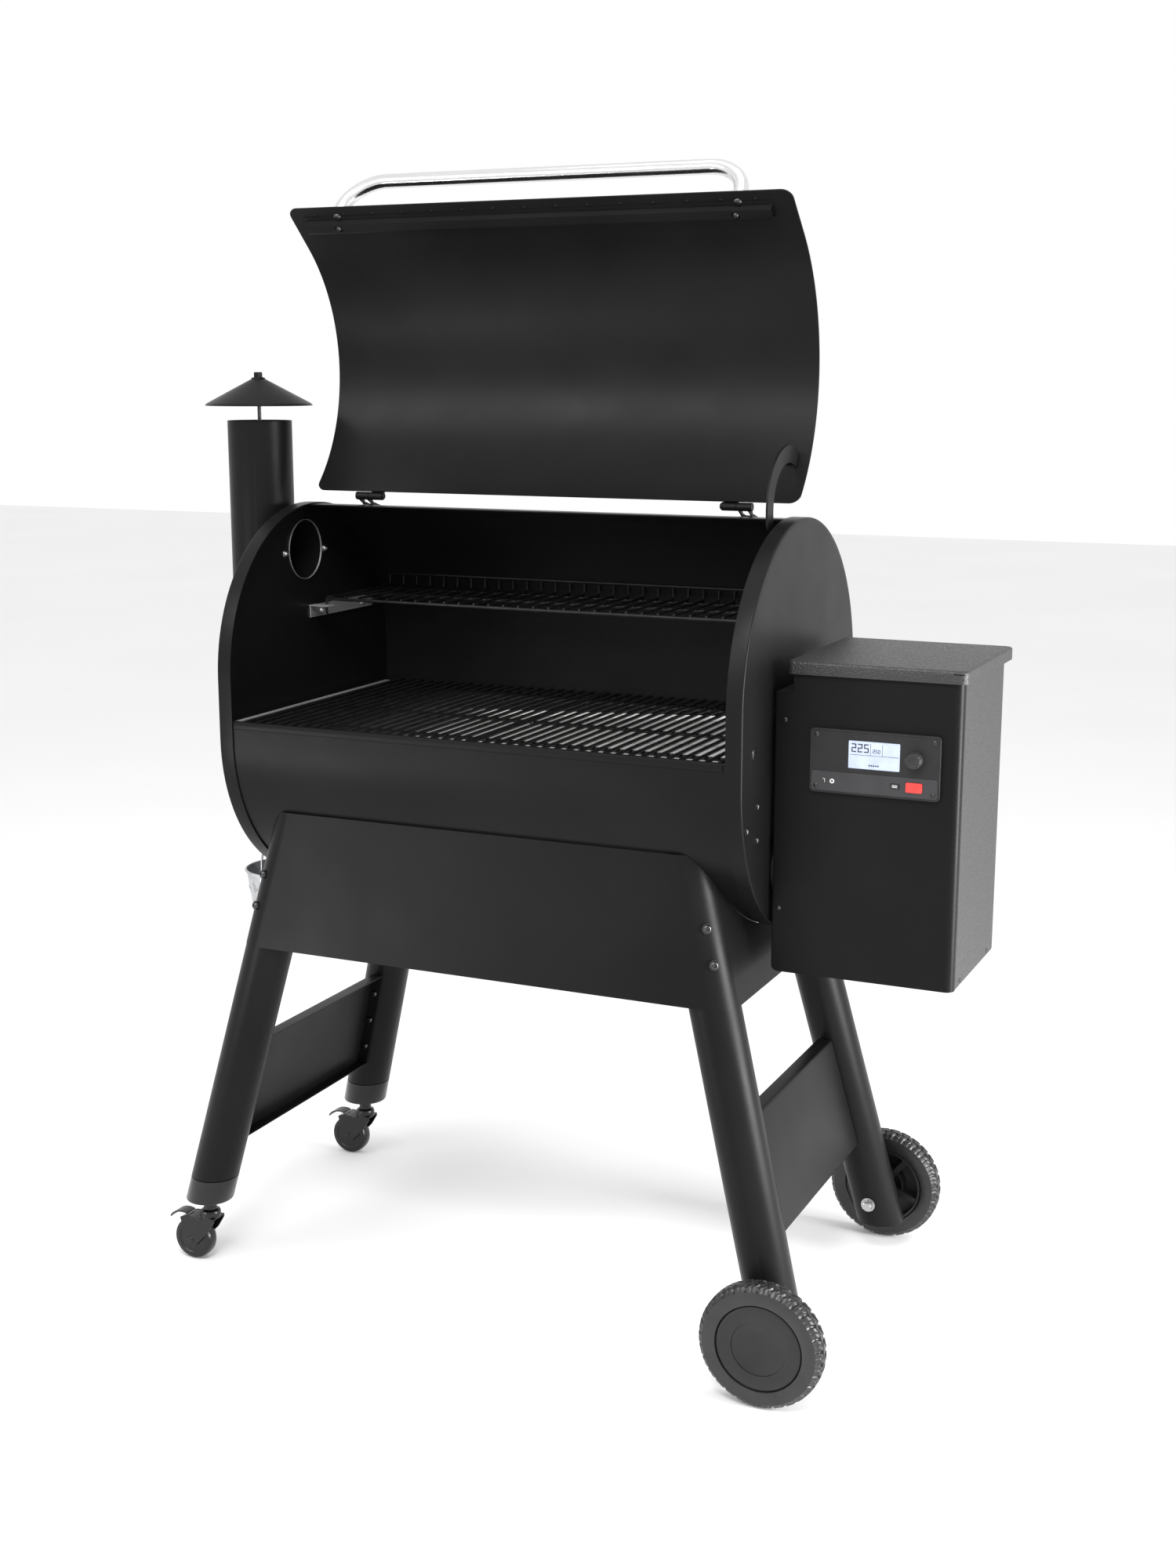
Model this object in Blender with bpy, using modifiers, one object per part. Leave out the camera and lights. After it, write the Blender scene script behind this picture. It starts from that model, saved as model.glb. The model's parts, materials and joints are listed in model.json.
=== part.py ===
"""Pellet smoker grill: a barrel oven on a splayed four-leg cart, with its lid swung open, a chimney
on the left and a pellet hopper with its controller on the right. Metres, +Z up, the floor at z = 0."""

import math

import bmesh
import bpy
from mathutils import Matrix, Vector

# Barrel: +X points to the hopper, +Y to the back. Its section is two half circles and short straights.
BARREL_HALF = 0.415
BARREL_MID_Z = 0.8976
STRAIGHT_HALF = 0.0458
RIM_R = 0.248
RIM_DEPTH = 0.0248
SHEET = 0.002
GAP = 0.0003
SHELL_R = RIM_R - SHEET - GAP
SHELL_EDGE_Y = -0.012
LIP_Z = 0.8814
HEM_WIDTH = 0.007
HEM_DEPTH = 0.0105
UPPER_Z = BARREL_MID_Z + STRAIGHT_HALF
LOWER_Z = BARREL_MID_Z - STRAIGHT_HALF

# Lid, drawn shut and swung open about its hinge.
LID_HALF = 0.3988
LID_R = RIM_R + 0.0005 + SHEET
LID_START = math.radians(85.6)
LID_END_Z = 0.862
LID_OPEN = math.radians(132.8)
HINGE_Y = 0.0203
HINGE_Z = 1.2021
KNUCKLE_R = 0.00625
PIN_R = 0.003
RUNNING_GAP = 0.0001
CHANNEL_LENGTH = 0.743
CHANNEL_MIDDLE = -0.0055
HANDLE_HALF = 0.318
HANDLE_Z = 0.880
HANDLE_STANDOFF = 0.070
HANDLE_BEND = 0.060
HANDLE_R = 0.011
STAY_X = 0.380
STAY_R = 0.076
STAY_WIDTH = 0.026
STAY_ROOT = 193.3

# Cooking chamber
GRATE_HALF = 0.381
GRATE_Z = 0.8735
GRATE_THICK = 0.008
GRATE_FRONT = -0.2355
GRATE_BACK = 0.2405
RACK_HALF = 0.352
RACK_Z = 1.036
RACK_THICK = 0.006
RACK_FRONT = 0.030
RACK_BACK = 0.215
TRAY_TILT = math.radians(2.5)
DRAIN_Y = 0.035
DRAIN_Z = 0.655
DRAIN_R = 0.013
AUGER_Z = 0.685
AUGER_TUBE_R = 0.025
POT_R = 0.045
PROBE_AXIS = (-0.100, 0.930)

# Chimney
CHIMNEY_X = -0.4907
CHIMNEY_R = 0.0506
CHIMNEY_TOP = 1.3165
CHIMNEY_FOOT = 1.062
PORT_Z = 1.117
PORT_R = 0.047
FLANGE_R = 0.056
FLANGE_REACH = 0.072
CAP_R = 0.0837
CAP_Z = 1.3395
CAP_TOP = 1.384

# Hopper
HOPPER_LEFT = 0.4203
HOPPER_RIGHT = 0.6795
HOPPER_FRONT = -0.1305
HOPPER_BACK = 0.104
HOPPER_BOTTOM = 0.567
HOPPER_TOP = 1.006
HOPPER_CORNER = 0.012
HOPPER_STEP_X = 0.4459
HOPPER_STEP_Z = 0.964
HOPPER_LID_LEFT = 0.436
HOPPER_LID_RIGHT = 0.685
HOPPER_LID_HALF_Y = 0.136
HOPPER_LID_Z = 0.990
HOPPER_LID_TOP = 1.008
HOPPER_HINGE = (0.118, 0.996)
PANEL_LOW = (0.4732, 0.831)
PANEL_HIGH = (0.6534, 0.919)
PANEL_THICK = 0.006
PANEL_FACE = HOPPER_FRONT - PANEL_THICK
FAN_AXIS = (-0.080, 0.705)
FAN_R = 0.041
FAN_SIDES = 24
ARC_STEP = 9

# Cart: a leg's axis leans outwards by these slopes, and LEG_X and LEG_Y are its place at LEG_Z.
LEG_Z = 0.494
LEG_X = 0.3745
LEG_Y = 0.2075
LEG_SLOPE_X = 0.256
LEG_SLOPE_Y = 0.0816
LEG_R = 0.0377
LEG_TOP = 0.735
CASTER_LEG_END = 0.107
WHEEL_LEG_END = 0.052
SKIRT_TOP = 0.744
SKIRT_BOTTOM = 0.533
SIDE_PANEL_TOP = 0.364
SIDE_PANEL_BOTTOM = 0.192
WHEEL_R = 0.090
WHEEL_HALF_WIDTH = 0.0185
WHEEL_Y = 0.302
HUB_R = 0.0622
AXLE_R = 0.006
CASTER_R = 0.034
CASTER_TRAIL = 0.030
BUCKET_R = 0.067
BUCKET_RIM_Z = 0.583
BUCKET_HEIGHT = 0.118
BUCKET_FOOT_R = 0.049
BAIL_R = 0.0725
BAIL_WIRE_R = 0.00175

CENTRE_X = (HOPPER_LID_RIGHT + CHIMNEY_X - CAP_R) / 2

YZ_PLANE = Matrix(((0, 0, 1), (1, 0, 0), (0, 1, 0))).to_4x4()
XZ_PLANE = Matrix(((1, 0, 0), (0, 0, -1), (0, 1, 0))).to_4x4()
XY_PLANE = Matrix.Identity(4)


# ---------------------------------------------------------------- scene, collections and materials

for old in list(bpy.data.objects):
    bpy.data.objects.remove(old, do_unlink=True)

PARTS = bpy.data.collections.new("pellet_smoker_grill")
CUTTERS = bpy.data.collections.new("cutters")
for group in (PARTS, CUTTERS):
    bpy.context.scene.collection.children.link(group)


def empty(name, location, parent=None, turn_x=0.0):
    marker = bpy.data.objects.new(name, None)
    marker.empty_display_size = 0.05
    marker.location = location
    marker.rotation_euler.x = turn_x
    marker.parent = parent
    PARTS.objects.link(marker)
    return marker


def material(name, colour, roughness, metallic=0.0):
    made = bpy.data.materials.new(name)
    made.use_nodes = True
    shader = made.node_tree.nodes["Principled BSDF"]
    shader.inputs["Base Color"].default_value = (*colour, 1.0)
    shader.inputs["Roughness"].default_value = roughness
    shader.inputs["Metallic"].default_value = metallic
    return made


GRILL = empty("grill_frame", (-CENTRE_X, 0, 0))
LID_PIVOT = empty("lid_pivot", (0, HINGE_Y, HINGE_Z), GRILL, -LID_OPEN)

BLACK_COAT = material("black_powder_coat", (0.022, 0.022, 0.023), 0.42)
TEXTURED_COAT = material("black_textured_coat", (0.028, 0.028, 0.03), 0.6)
ENAMEL = material("black_enamel", (0.015, 0.015, 0.016), 0.3)
CHROME = material("polished_steel", (0.62, 0.62, 0.62), 0.18, 1.0)
STEEL = material("plain_steel", (0.55, 0.55, 0.55), 0.35, 1.0)
GALVANISED = material("galvanised_steel", (0.55, 0.56, 0.57), 0.4, 1.0)
PLASTIC = material("black_plastic", (0.02, 0.02, 0.021), 0.5)
TYRE = material("tyre_rubber", (0.018, 0.018, 0.018), 0.75)
GLASS = material("display_glass", (0.75, 0.78, 0.82), 0.15)
RED = material("red_button", (0.75, 0.09, 0.08), 0.4)


# ---------------------------------------------------------------- shared shapes


def finished(name, mesh, coat, origin=(0, 0, 0), parent=GRILL):
    """An object in the parts collection, its mesh given in its parent's frame, with its own origin."""
    mesh.transform(Matrix.Translation(-Vector(origin)))
    mesh.materials.clear()
    mesh.materials.append(coat)
    mesh.shade_smooth()
    mesh.set_sharp_from_angle(angle=math.radians(35))
    made = bpy.data.objects.new(name, mesh)
    made.location = origin
    made.parent = parent
    PARTS.objects.link(made)
    return made


def cutter(name, mesh, parent=GRILL):
    made = bpy.data.objects.new(name, mesh)
    made.parent = parent
    made.hide_render = True
    made.display_type = "WIRE"
    CUTTERS.objects.link(made)
    return made


def mesh_of(shape, name="shape"):
    mesh = bpy.data.meshes.new(name)
    bmesh.ops.recalc_face_normals(shape, faces=shape.faces[:])
    shape.to_mesh(mesh)
    shape.free()
    return mesh


def box(low, high):
    shape = bmesh.new()
    bmesh.ops.create_cube(shape, size=1)
    size = [b - a for a, b in zip(low, high)]
    middle = [(a + b) / 2 for a, b in zip(low, high)]
    bmesh.ops.transform(shape, matrix=Matrix.Diagonal((*size, 1)), verts=shape.verts[:])
    bmesh.ops.translate(shape, vec=middle, verts=shape.verts[:])
    return mesh_of(shape)


def rod(start, end, radius, end_radius=None, sides=24):
    """A cylinder or a cone from one point to another."""
    start, end = Vector(start), Vector(end)
    along = end - start
    turn = along.to_track_quat("Z", "Y").to_matrix().to_4x4()
    shape = bmesh.new()
    bmesh.ops.create_cone(
        shape,
        cap_ends=True,
        segments=sides,
        radius1=radius,
        radius2=radius if end_radius is None else end_radius,
        depth=along.length,
        matrix=Matrix.Translation((start + end) / 2) @ turn,
    )
    return mesh_of(shape)


def meshed(curve_object):
    """The evaluated mesh of a curve object, its caps welded. The curve is removed."""
    bpy.context.scene.collection.objects.link(curve_object)
    graph = bpy.context.evaluated_depsgraph_get()
    mesh = bpy.data.meshes.new_from_object(curve_object.evaluated_get(graph))
    bpy.data.objects.remove(curve_object)
    shape = bmesh.new()
    shape.from_mesh(mesh)
    bmesh.ops.remove_doubles(shape, verts=shape.verts[:], dist=1e-6)
    return mesh_of(shape)


def plate(outlines, thickness, plane, offset):
    """A flat plate: the first outline is its edge and the rest are holes. offset is its middle's place."""
    curve = bpy.data.curves.new("outline", "CURVE")
    curve.dimensions = "2D"
    curve.fill_mode = "BOTH"
    curve.extrude = thickness / 2
    for outline in outlines:
        spline = curve.splines.new("POLY")
        spline.points.add(len(outline) - 1)
        for point, place in zip(spline.points, outline):
            point.co = (*place, 0, 1)
        spline.use_cyclic_u = True
    mesh = meshed(bpy.data.objects.new("outline", curve))
    mesh.transform(plane @ Matrix.Translation((0, 0, offset)))
    return mesh


def wire(points, radius, smoothness=2):
    """A round bar along a list of points."""
    curve = bpy.data.curves.new("wire", "CURVE")
    curve.dimensions = "3D"
    curve.bevel_depth = radius
    curve.bevel_resolution = smoothness
    curve.use_fill_caps = True
    spline = curve.splines.new("POLY")
    spline.points.add(len(points) - 1)
    for point, place in zip(spline.points, points):
        point.co = (*place, 1)
    return meshed(bpy.data.objects.new("wire", curve))


def strip(profile, start, end):
    """An open sheet: a profile of (y, z) points drawn out along X. It gets its thickness from Solidify."""
    shape = bmesh.new()
    points = [shape.verts.new((start, y, z)) for y, z in profile]
    edges = [shape.edges.new(pair) for pair in zip(points, points[1:])]
    drawn = bmesh.ops.extrude_edge_only(shape, edges=edges)["geom"]
    moved = [item for item in drawn if isinstance(item, bmesh.types.BMVert)]
    bmesh.ops.translate(shape, vec=(end - start, 0, 0), verts=moved)
    return mesh_of(shape)


def lofted(rings, closed, floor):
    """A sheet through rings of points, each ring with as many points. floor fills the first ring."""
    shape = bmesh.new()
    rows = [[shape.verts.new(point) for point in ring] for ring in rings]
    count = len(rows[0])
    for low, high in zip(rows, rows[1:]):
        for i in range(count if closed else count - 1):
            shape.faces.new((low[i], low[(i + 1) % count], high[(i + 1) % count], high[i]))
    if floor:
        shape.faces.new(rows[0])
    return mesh_of(shape)


def solidify(made, thickness, offset=-1.0):
    modifier = made.modifiers.new("thickness", "SOLIDIFY")
    modifier.thickness = thickness
    modifier.offset = offset
    modifier.use_even_offset = True
    return made


def boolean(made, tool, operation):
    modifier = made.modifiers.new(operation.lower(), "BOOLEAN")
    modifier.operation = operation
    modifier.object = tool
    return made


def cut(made, *meshes, parent=GRILL):
    for i, mesh in enumerate(meshes):
        boolean(made, cutter(f"{made.name}_cut_{i + 1}", mesh, parent), "DIFFERENCE")
    return made


def join(made, *meshes, parent=GRILL):
    for i, mesh in enumerate(meshes):
        boolean(made, cutter(f"{made.name}_with_{i + 1}", mesh, parent), "UNION")
    return made


def turned(name, profile, centre, axis, coat, steps=32, parent=GRILL):
    """A turned piece. profile holds (radius, height) points, and axis is where its height points."""
    shape = bmesh.new()
    points = [shape.verts.new((radius, 0, height)) for radius, height in profile]
    for pair in zip(points, points[1:]):
        shape.edges.new(pair)
    if profile[0][0] > 0 or profile[-1][0] > 0:
        shape.edges.new((points[-1], points[0]))
    mesh = bpy.data.meshes.new(name)
    shape.to_mesh(mesh)
    shape.free()
    made = bpy.data.objects.new(name, mesh)
    mesh.materials.append(coat)
    made.location = centre
    made.rotation_euler = Vector(axis).to_track_quat("Z", "Y").to_euler()
    made.parent = parent
    PARTS.objects.link(made)
    screw = made.modifiers.new("turn", "SCREW")
    screw.steps = screw.render_steps = steps
    screw.use_merge_vertices = True
    screw.merge_threshold = 0.00002
    screw.use_smooth_shade = True
    return made


def arc(centre, radius, start, end, count):
    """Points on an arc in a plane, with angles in degrees."""
    angles = [math.radians(start + (end - start) * i / (count - 1)) for i in range(count)]
    return [(centre[0] + radius * math.cos(a), centre[1] + radius * math.sin(a)) for a in angles]


def rounded_rectangle(low, high, radius, count=4):
    (x0, y0), (x1, y1) = low, high
    corners = ((x1 - radius, y1 - radius), (x0 + radius, y1 - radius))
    corners += ((x0 + radius, y0 + radius), (x1 - radius, y0 + radius))
    points = []
    for i, corner in enumerate(corners):
        points += arc(corner, radius, 90 * i, 90 * i + 90, count)
    return points


def rectangle(low, high):
    return [(low[0], low[1]), (high[0], low[1]), (high[0], high[1]), (low[0], high[1])]


def barrel_outline(radius, count=180 // ARC_STEP + 1):
    """The barrel's closed section as (y, z) points."""
    return arc((0, UPPER_Z), radius, 0, 180, count) + arc((0, LOWER_Z), radius, 180, 360, count)


def barrel_block(radius, count):
    return plate([barrel_outline(radius, count)], 2 * BARREL_HALF, YZ_PLANE, 0)


BARREL_ENVELOPE = cutter("barrel_envelope", barrel_block(SHELL_R + GAP, 180 // ARC_STEP + 1))


# ---------------------------------------------------------------- barrel


def make_barrel_shell():
    """Rolled sheet, open at the top front for the lid, with its front edge folded in as a hem."""
    edge_z = UPPER_Z + SHELL_R + SHELL_EDGE_Y * math.tan(math.radians(ARC_STEP / 2))
    quarter, half_turn = 90 // ARC_STEP + 1, 180 // ARC_STEP + 1
    inner_r = SHELL_R - SHEET
    hem_y = -SHELL_R + HEM_WIDTH
    outline = [(SHELL_EDGE_Y, edge_z)] + arc((0, UPPER_Z), SHELL_R, 90, 0, quarter)
    outline += arc((0, LOWER_Z), SHELL_R, 0, -180, half_turn)
    outline += [(-SHELL_R, LIP_Z - 0.0015), (-SHELL_R + 0.0015, LIP_Z), (hem_y - 0.0015, LIP_Z)]
    outline += [(hem_y, LIP_Z - 0.0015), (hem_y, LIP_Z - HEM_DEPTH)]
    outline += [(hem_y - SHEET, LIP_Z - HEM_DEPTH), (hem_y - SHEET, LIP_Z - SHEET)]
    outline.append((-inner_r, LIP_Z - SHEET))
    outline += arc((0, LOWER_Z), inner_r, -180, 0, half_turn)
    outline += arc((0, UPPER_Z), inner_r, 0, 90, quarter)
    outline.append((SHELL_EDGE_Y, edge_z - SHEET))
    half = BARREL_HALF - SHEET - 0.001
    shell = finished("barrel_shell", plate([outline], 2 * half, YZ_PLANE, 0), BLACK_COAT)
    ledge_in, ledge_out = SHELL_R - 0.020, SHELL_R - 0.0012
    for side in (-1, 1):
        ys = sorted((side * ledge_in, side * ledge_out))
        join(shell, box((-half + 0.02, ys[0], GRATE_Z - 0.0028), (half - 0.02, ys[1], GRATE_Z - GAP)))


def end_panel(name, side, holes):
    rings = [
        [(side * BARREL_HALF, y, z) for y, z in barrel_outline(RIM_R - 0.003)],
        [(side * (BARREL_HALF - 0.0008), y, z) for y, z in barrel_outline(RIM_R - 0.0009)],
        [(side * (BARREL_HALF - 0.003), y, z) for y, z in barrel_outline(RIM_R)],
        [(side * (BARREL_HALF - RIM_DEPTH), y, z) for y, z in barrel_outline(RIM_R)],
    ]
    panel = finished(name, lofted(rings, True, True), BLACK_COAT)
    solidify(panel, SHEET, -1.0)
    for y, z, radius in holes:
        cut(panel, rod((side * (BARREL_HALF - 0.02), y, z), (side * (BARREL_HALF + 0.02), y, z), radius))


def make_end_panels():
    end_panel("left_end_panel", -1, [(0, PORT_Z, PORT_R), (DRAIN_Y, DRAIN_Z, DRAIN_R + GAP)])
    tube_hole = (0, AUGER_Z, AUGER_TUBE_R + GAP)
    fan_hole = (*FAN_AXIS, FAN_R + 2 * GAP)
    probe_hole = (*PROBE_AXIS, 0.0040)
    end_panel("right_end_panel", 1, [tube_hole, fan_hole, probe_hole])


# ---------------------------------------------------------------- lid


def make_lid_shell():
    start, inner_r = math.degrees(LID_START), LID_R - SHEET
    outline = arc((0, UPPER_Z), LID_R, start, 180, 19)
    outline += [(-LID_R, LID_END_Z), (-inner_r, LID_END_Z)]
    outline += arc((0, UPPER_Z), inner_r, 180, start, 19)
    sheet = plate([outline], 2 * LID_HALF, YZ_PLANE, 0)
    finished("lid_shell", on_lid(sheet), BLACK_COAT, parent=LID_PIVOT)


def on_lid(mesh):
    """A mesh drawn where the shut lid would be, taken into the lid pivot's frame."""
    mesh.transform(Matrix.Translation((0, -HINGE_Y, -HINGE_Z)))
    return mesh


def make_lid_channel():
    low_z, high_z = LID_END_Z + 0.0245, LID_END_Z + 0.0445
    face_y = -LID_R + SHEET + GAP
    outline = [(face_y, low_z), (face_y + 0.008, low_z + 0.002)]
    outline += [(face_y + 0.008, high_z - 0.002), (face_y, high_z)]
    channel = plate([outline], CHANNEL_LENGTH, YZ_PLANE, CHANNEL_MIDDLE)
    finished("lid_channel", on_lid(channel), BLACK_COAT, parent=LID_PIVOT)


def make_lid_handle():
    face_y = -LID_R - GAP
    bar_y = face_y - HANDLE_STANDOFF
    inner_x = HANDLE_HALF - HANDLE_BEND
    right = [(HANDLE_HALF, face_y)] + arc((inner_x, bar_y + HANDLE_BEND), HANDLE_BEND, 0, -90, 8)
    left = [(-x, y) for x, y in reversed(right)]
    points = [(x, y, HANDLE_Z) for x, y in right + left]
    finished("lid_handle", on_lid(wire(points, HANDLE_R, 4)), CHROME, parent=LID_PIVOT)


def make_lid_stay():
    """A curved flat arm about the hinge axis, from the lid's inner face into the barrel."""
    outer, inner = STAY_R + STAY_WIDTH / 2, STAY_R - STAY_WIDTH / 2
    shut_tip = math.degrees(LID_OPEN) + 200
    outline = arc((0, 0), outer, STAY_ROOT, shut_tip - 5, 14)
    outline += arc((0, 0), STAY_R, shut_tip, shut_tip - 1, 2)
    outline += arc((0, 0), inner, shut_tip - 5, STAY_ROOT, 14)
    finished("lid_stay", plate([outline], 0.003, YZ_PLANE, STAY_X), BLACK_COAT, parent=LID_PIVOT)


def hinge(side_name, base_span, leaf_span, foot_span):
    """A lug hinge. Its base, with the pin, stands on the barrel, and its leaf lies on the lid."""
    axis = (HINGE_Y, HINGE_Z)
    base = finished(
        f"hinge_base_{side_name}",
        rod((base_span[0], *axis), (base_span[1], *axis), KNUCKLE_R, sides=20),
        BLACK_COAT,
    )
    top = UPPER_Z + SHELL_R + GAP
    lug = [(HINGE_Y, HINGE_Z - 0.004), (0.036, top), (0.056, top - 0.0035)]
    lug += [(0.056, top), (HINGE_Y, HINGE_Z + 0.004)]
    middle = sum(foot_span) / 2
    web = plate([lug], foot_span[1] - foot_span[0], YZ_PLANE, middle)
    pin_end = leaf_span[1] if leaf_span[1] > base_span[1] else leaf_span[0]
    join(base, web, rod((sum(base_span) / 2, *axis), (pin_end, *axis), PIN_R, sides=20))
    boolean(base, BARREL_ENVELOPE, "DIFFERENCE")

    knuckle = on_lid(rod((leaf_span[0], *axis), (leaf_span[1], *axis), KNUCKLE_R, sides=20))
    leaf = finished(f"hinge_leaf_{side_name}", knuckle, BLACK_COAT, parent=LID_PIVOT)
    lid_top = UPPER_Z + LID_R + GAP
    tongue = [(HINGE_Y - 0.003, lid_top - 0.0006), (HINGE_Y - 0.003, lid_top + 0.004)]
    tongue += [(-0.020, lid_top + 0.0030), (-0.028, lid_top + 0.0018), (-0.028, lid_top - 0.0012)]
    tongue += [(-0.014, lid_top)]
    arm = plate([tongue], leaf_span[1] - leaf_span[0], YZ_PLANE, sum(leaf_span) / 2)
    join(leaf, on_lid(arm), parent=LID_PIVOT)
    bore_ends = [(x, *axis) for x in (leaf_span[0] - 0.01, leaf_span[1] + 0.01)]
    cut(leaf, on_lid(rod(*bore_ends, PIN_R + RUNNING_GAP, sides=20)), parent=LID_PIVOT)
    boolean(leaf, LID_ENVELOPE, "DIFFERENCE")


LID_ENVELOPE = cutter("lid_envelope", on_lid(barrel_block(LID_R + GAP, 33)), LID_PIVOT)


def make_lid():
    make_lid_shell()
    make_lid_channel()
    make_lid_handle()
    make_lid_stay()
    hinge("left", (-0.3276, -0.3050), (-0.3047, -0.2810), (-0.3240, -0.3060))
    hinge("right", (0.3050, 0.3276), (0.2810, 0.3047), (0.3060, 0.3240))


# ---------------------------------------------------------------- inside the barrel


def slotted(low, high, margin, slots, bridge):
    """The outline of a grille and its slots, which run front to back."""
    pitch = (high[0] - low[0] - 2 * margin + bridge) / slots
    outlines = [rectangle(low, high)]
    for i in range(slots):
        left = low[0] + margin + i * pitch
        outlines.append(rectangle((left, low[1] + margin), (left + pitch - bridge, high[1] - margin)))
    return outlines


def make_grates():
    middle = GRATE_Z + GRATE_THICK / 2
    for name, low_x, high_x in (("left", -GRATE_HALF, -0.0015), ("right", 0.0015, GRATE_HALF)):
        outlines = slotted((low_x, GRATE_FRONT), (high_x, GRATE_BACK), 0.007, 10, 0.007)
        origin = ((low_x + high_x) / 2, GRATE_BACK - 0.004, middle)
        finished(f"cooking_grate_{name}", plate(outlines, GRATE_THICK, XY_PLANE, middle), ENAMEL, origin)


def make_upper_rack():
    middle = RACK_Z + RACK_THICK / 2
    outlines = slotted((-RACK_HALF, RACK_FRONT), (RACK_HALF, RACK_BACK), 0.006, 14, 0.006)
    rack = plate(outlines, RACK_THICK, XY_PLANE, middle)
    finished("upper_rack", rack, ENAMEL, (0, RACK_FRONT, middle))
    wall = BARREL_HALF - SHEET - GAP
    top, low = RACK_Z - GAP, 1.012
    for name, side in (("left", -1), ("right", 1)):
        inner = RACK_HALF - 0.007
        outline = [(wall, low), (wall, top), (inner, top), (inner, low), (inner + SHEET, low)]
        outline += [(inner + SHEET, top - SHEET), (wall - SHEET, top - SHEET), (wall - SHEET, low)]
        outline = [(side * x, z) for x, z in outline]
        finished(f"rack_bracket_{name}", plate([outline], 0.190, XZ_PLANE, -0.105), STEEL)


def make_drip_tray():
    profile = [(-0.214, 0.008), (-0.210, 0), (0.210, 0), (0.214, 0.008)]
    mesh = strip(profile, -0.372, 0.372)
    mesh.transform(Matrix.Translation((0.012, 0, 0.843)) @ Matrix.Rotation(-TRAY_TILT, 4, "Y"))
    solidify(finished("drip_tray", mesh, ENAMEL), SHEET, 0.0)


def make_drain():
    """A sloped gutter inside the left end, and the spout that it empties through."""
    low = DRAIN_Z + 0.007
    profile = [(-0.200, 0.745), (DRAIN_Y - 0.012, low), (DRAIN_Y + 0.012, low), (0.190, 0.720)]
    inner = -(BARREL_HALF - SHEET - 0.0008)
    drain = finished("drain_spout", strip(profile, inner, inner + 0.050), GALVANISED)
    solidify(drain, SHEET, 0.0)
    ends = [(x, DRAIN_Y, DRAIN_Z) for x in (-0.385, CHIMNEY_X - 0.012)]
    bore = [(x, DRAIN_Y, DRAIN_Z) for x in (-0.3870, CHIMNEY_X - 0.02)]
    join(drain, rod(*ends, DRAIN_R, sides=20))
    mouth = box((-0.400, DRAIN_Y - 0.008, DRAIN_Z), (-0.388, DRAIN_Y + 0.008, DRAIN_Z + 0.02))
    cut(drain, rod(*bore, DRAIN_R - 0.0015, sides=20), mouth)


def make_heat_baffle():
    profile = [(-0.125, 0.725), (-0.112, 0.745), (0.112, 0.745), (0.125, 0.725)]
    baffle = finished("heat_baffle", strip(profile, -0.150, 0.150), ENAMEL)
    solidify(baffle, SHEET, 0.0)
    for x in (-0.135, 0.123):
        for y in (-0.110, 0.108):
            join(baffle, box((x, y, 0.640), (x + 0.012, y + 0.002, 0.7455)))


def make_fire_pot():
    base, top, wall = 0.6135, 0.715, 0.003
    profile = [(0, base + wall), (POT_R - wall, base + wall), (POT_R - wall, top)]
    profile += [(POT_R, top), (POT_R, base), (0, base)]
    profile = [(radius, height - base) for radius, height in profile]
    pot = turned("fire_pot", profile, (0, 0, base), (0, 0, 1), ENAMEL, 28)
    cut(pot, rod((0.02, 0, AUGER_Z), (0.07, 0, AUGER_Z), AUGER_TUBE_R - SHEET))
    join(pot, rod((0.028, 0, 0.642), (0.095, 0, 0.642), 0.005, sides=12))


def helix_sections(start, end, inner, outer, half_width, turns, per_turn):
    count = turns * per_turn
    for i in range(count + 1):
        angle = 2 * math.pi * i / per_turn
        x = start + (end - start) * i / count
        corners = ((inner, -half_width), (outer, -half_width), (outer, half_width), (inner, half_width))
        yield [(x + dx, r * math.cos(angle), AUGER_Z + r * math.sin(angle)) for r, dx in corners]


def make_auger():
    """The feed screw, its tube and its geared motor."""
    shape = bmesh.new()
    sections = helix_sections(0.080, 0.570, 0.006, 0.0215, 0.0012, 8, 8)
    rings = [[shape.verts.new(point) for point in ring] for ring in sections]
    for low, high in zip(rings, rings[1:]):
        for i in range(4):
            shape.faces.new((low[i], low[(i + 1) % 4], high[(i + 1) % 4], high[i]))
    shape.faces.new(rings[0])
    shape.faces.new(rings[-1])
    screw = finished("auger", mesh_of(shape), STEEL, (0.07, 0, AUGER_Z))
    join(screw, rod((0.070, 0, AUGER_Z), (0.5895, 0, AUGER_Z), 0.008, sides=16))

    near, far = POT_R + 0.0013, 0.580
    tube = finished("auger_tube", rod((near, 0, AUGER_Z), (far, 0, AUGER_Z), AUGER_TUBE_R), ENAMEL)
    cut(tube, rod((near - 0.01, 0, AUGER_Z), (far + 0.01, 0, AUGER_Z), AUGER_TUBE_R - SHEET))
    cut(tube, box((0.478, -0.018, AUGER_Z + 0.012), (0.546, 0.018, AUGER_Z + 0.04)))

    motor = finished("auger_motor", box((0.590, -0.034, 0.650), (0.640, 0.034, 0.722)), STEEL)
    join(motor, rod((0.635, 0, AUGER_Z), (0.668, 0, AUGER_Z), 0.026))


# ---------------------------------------------------------------- chimney


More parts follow.
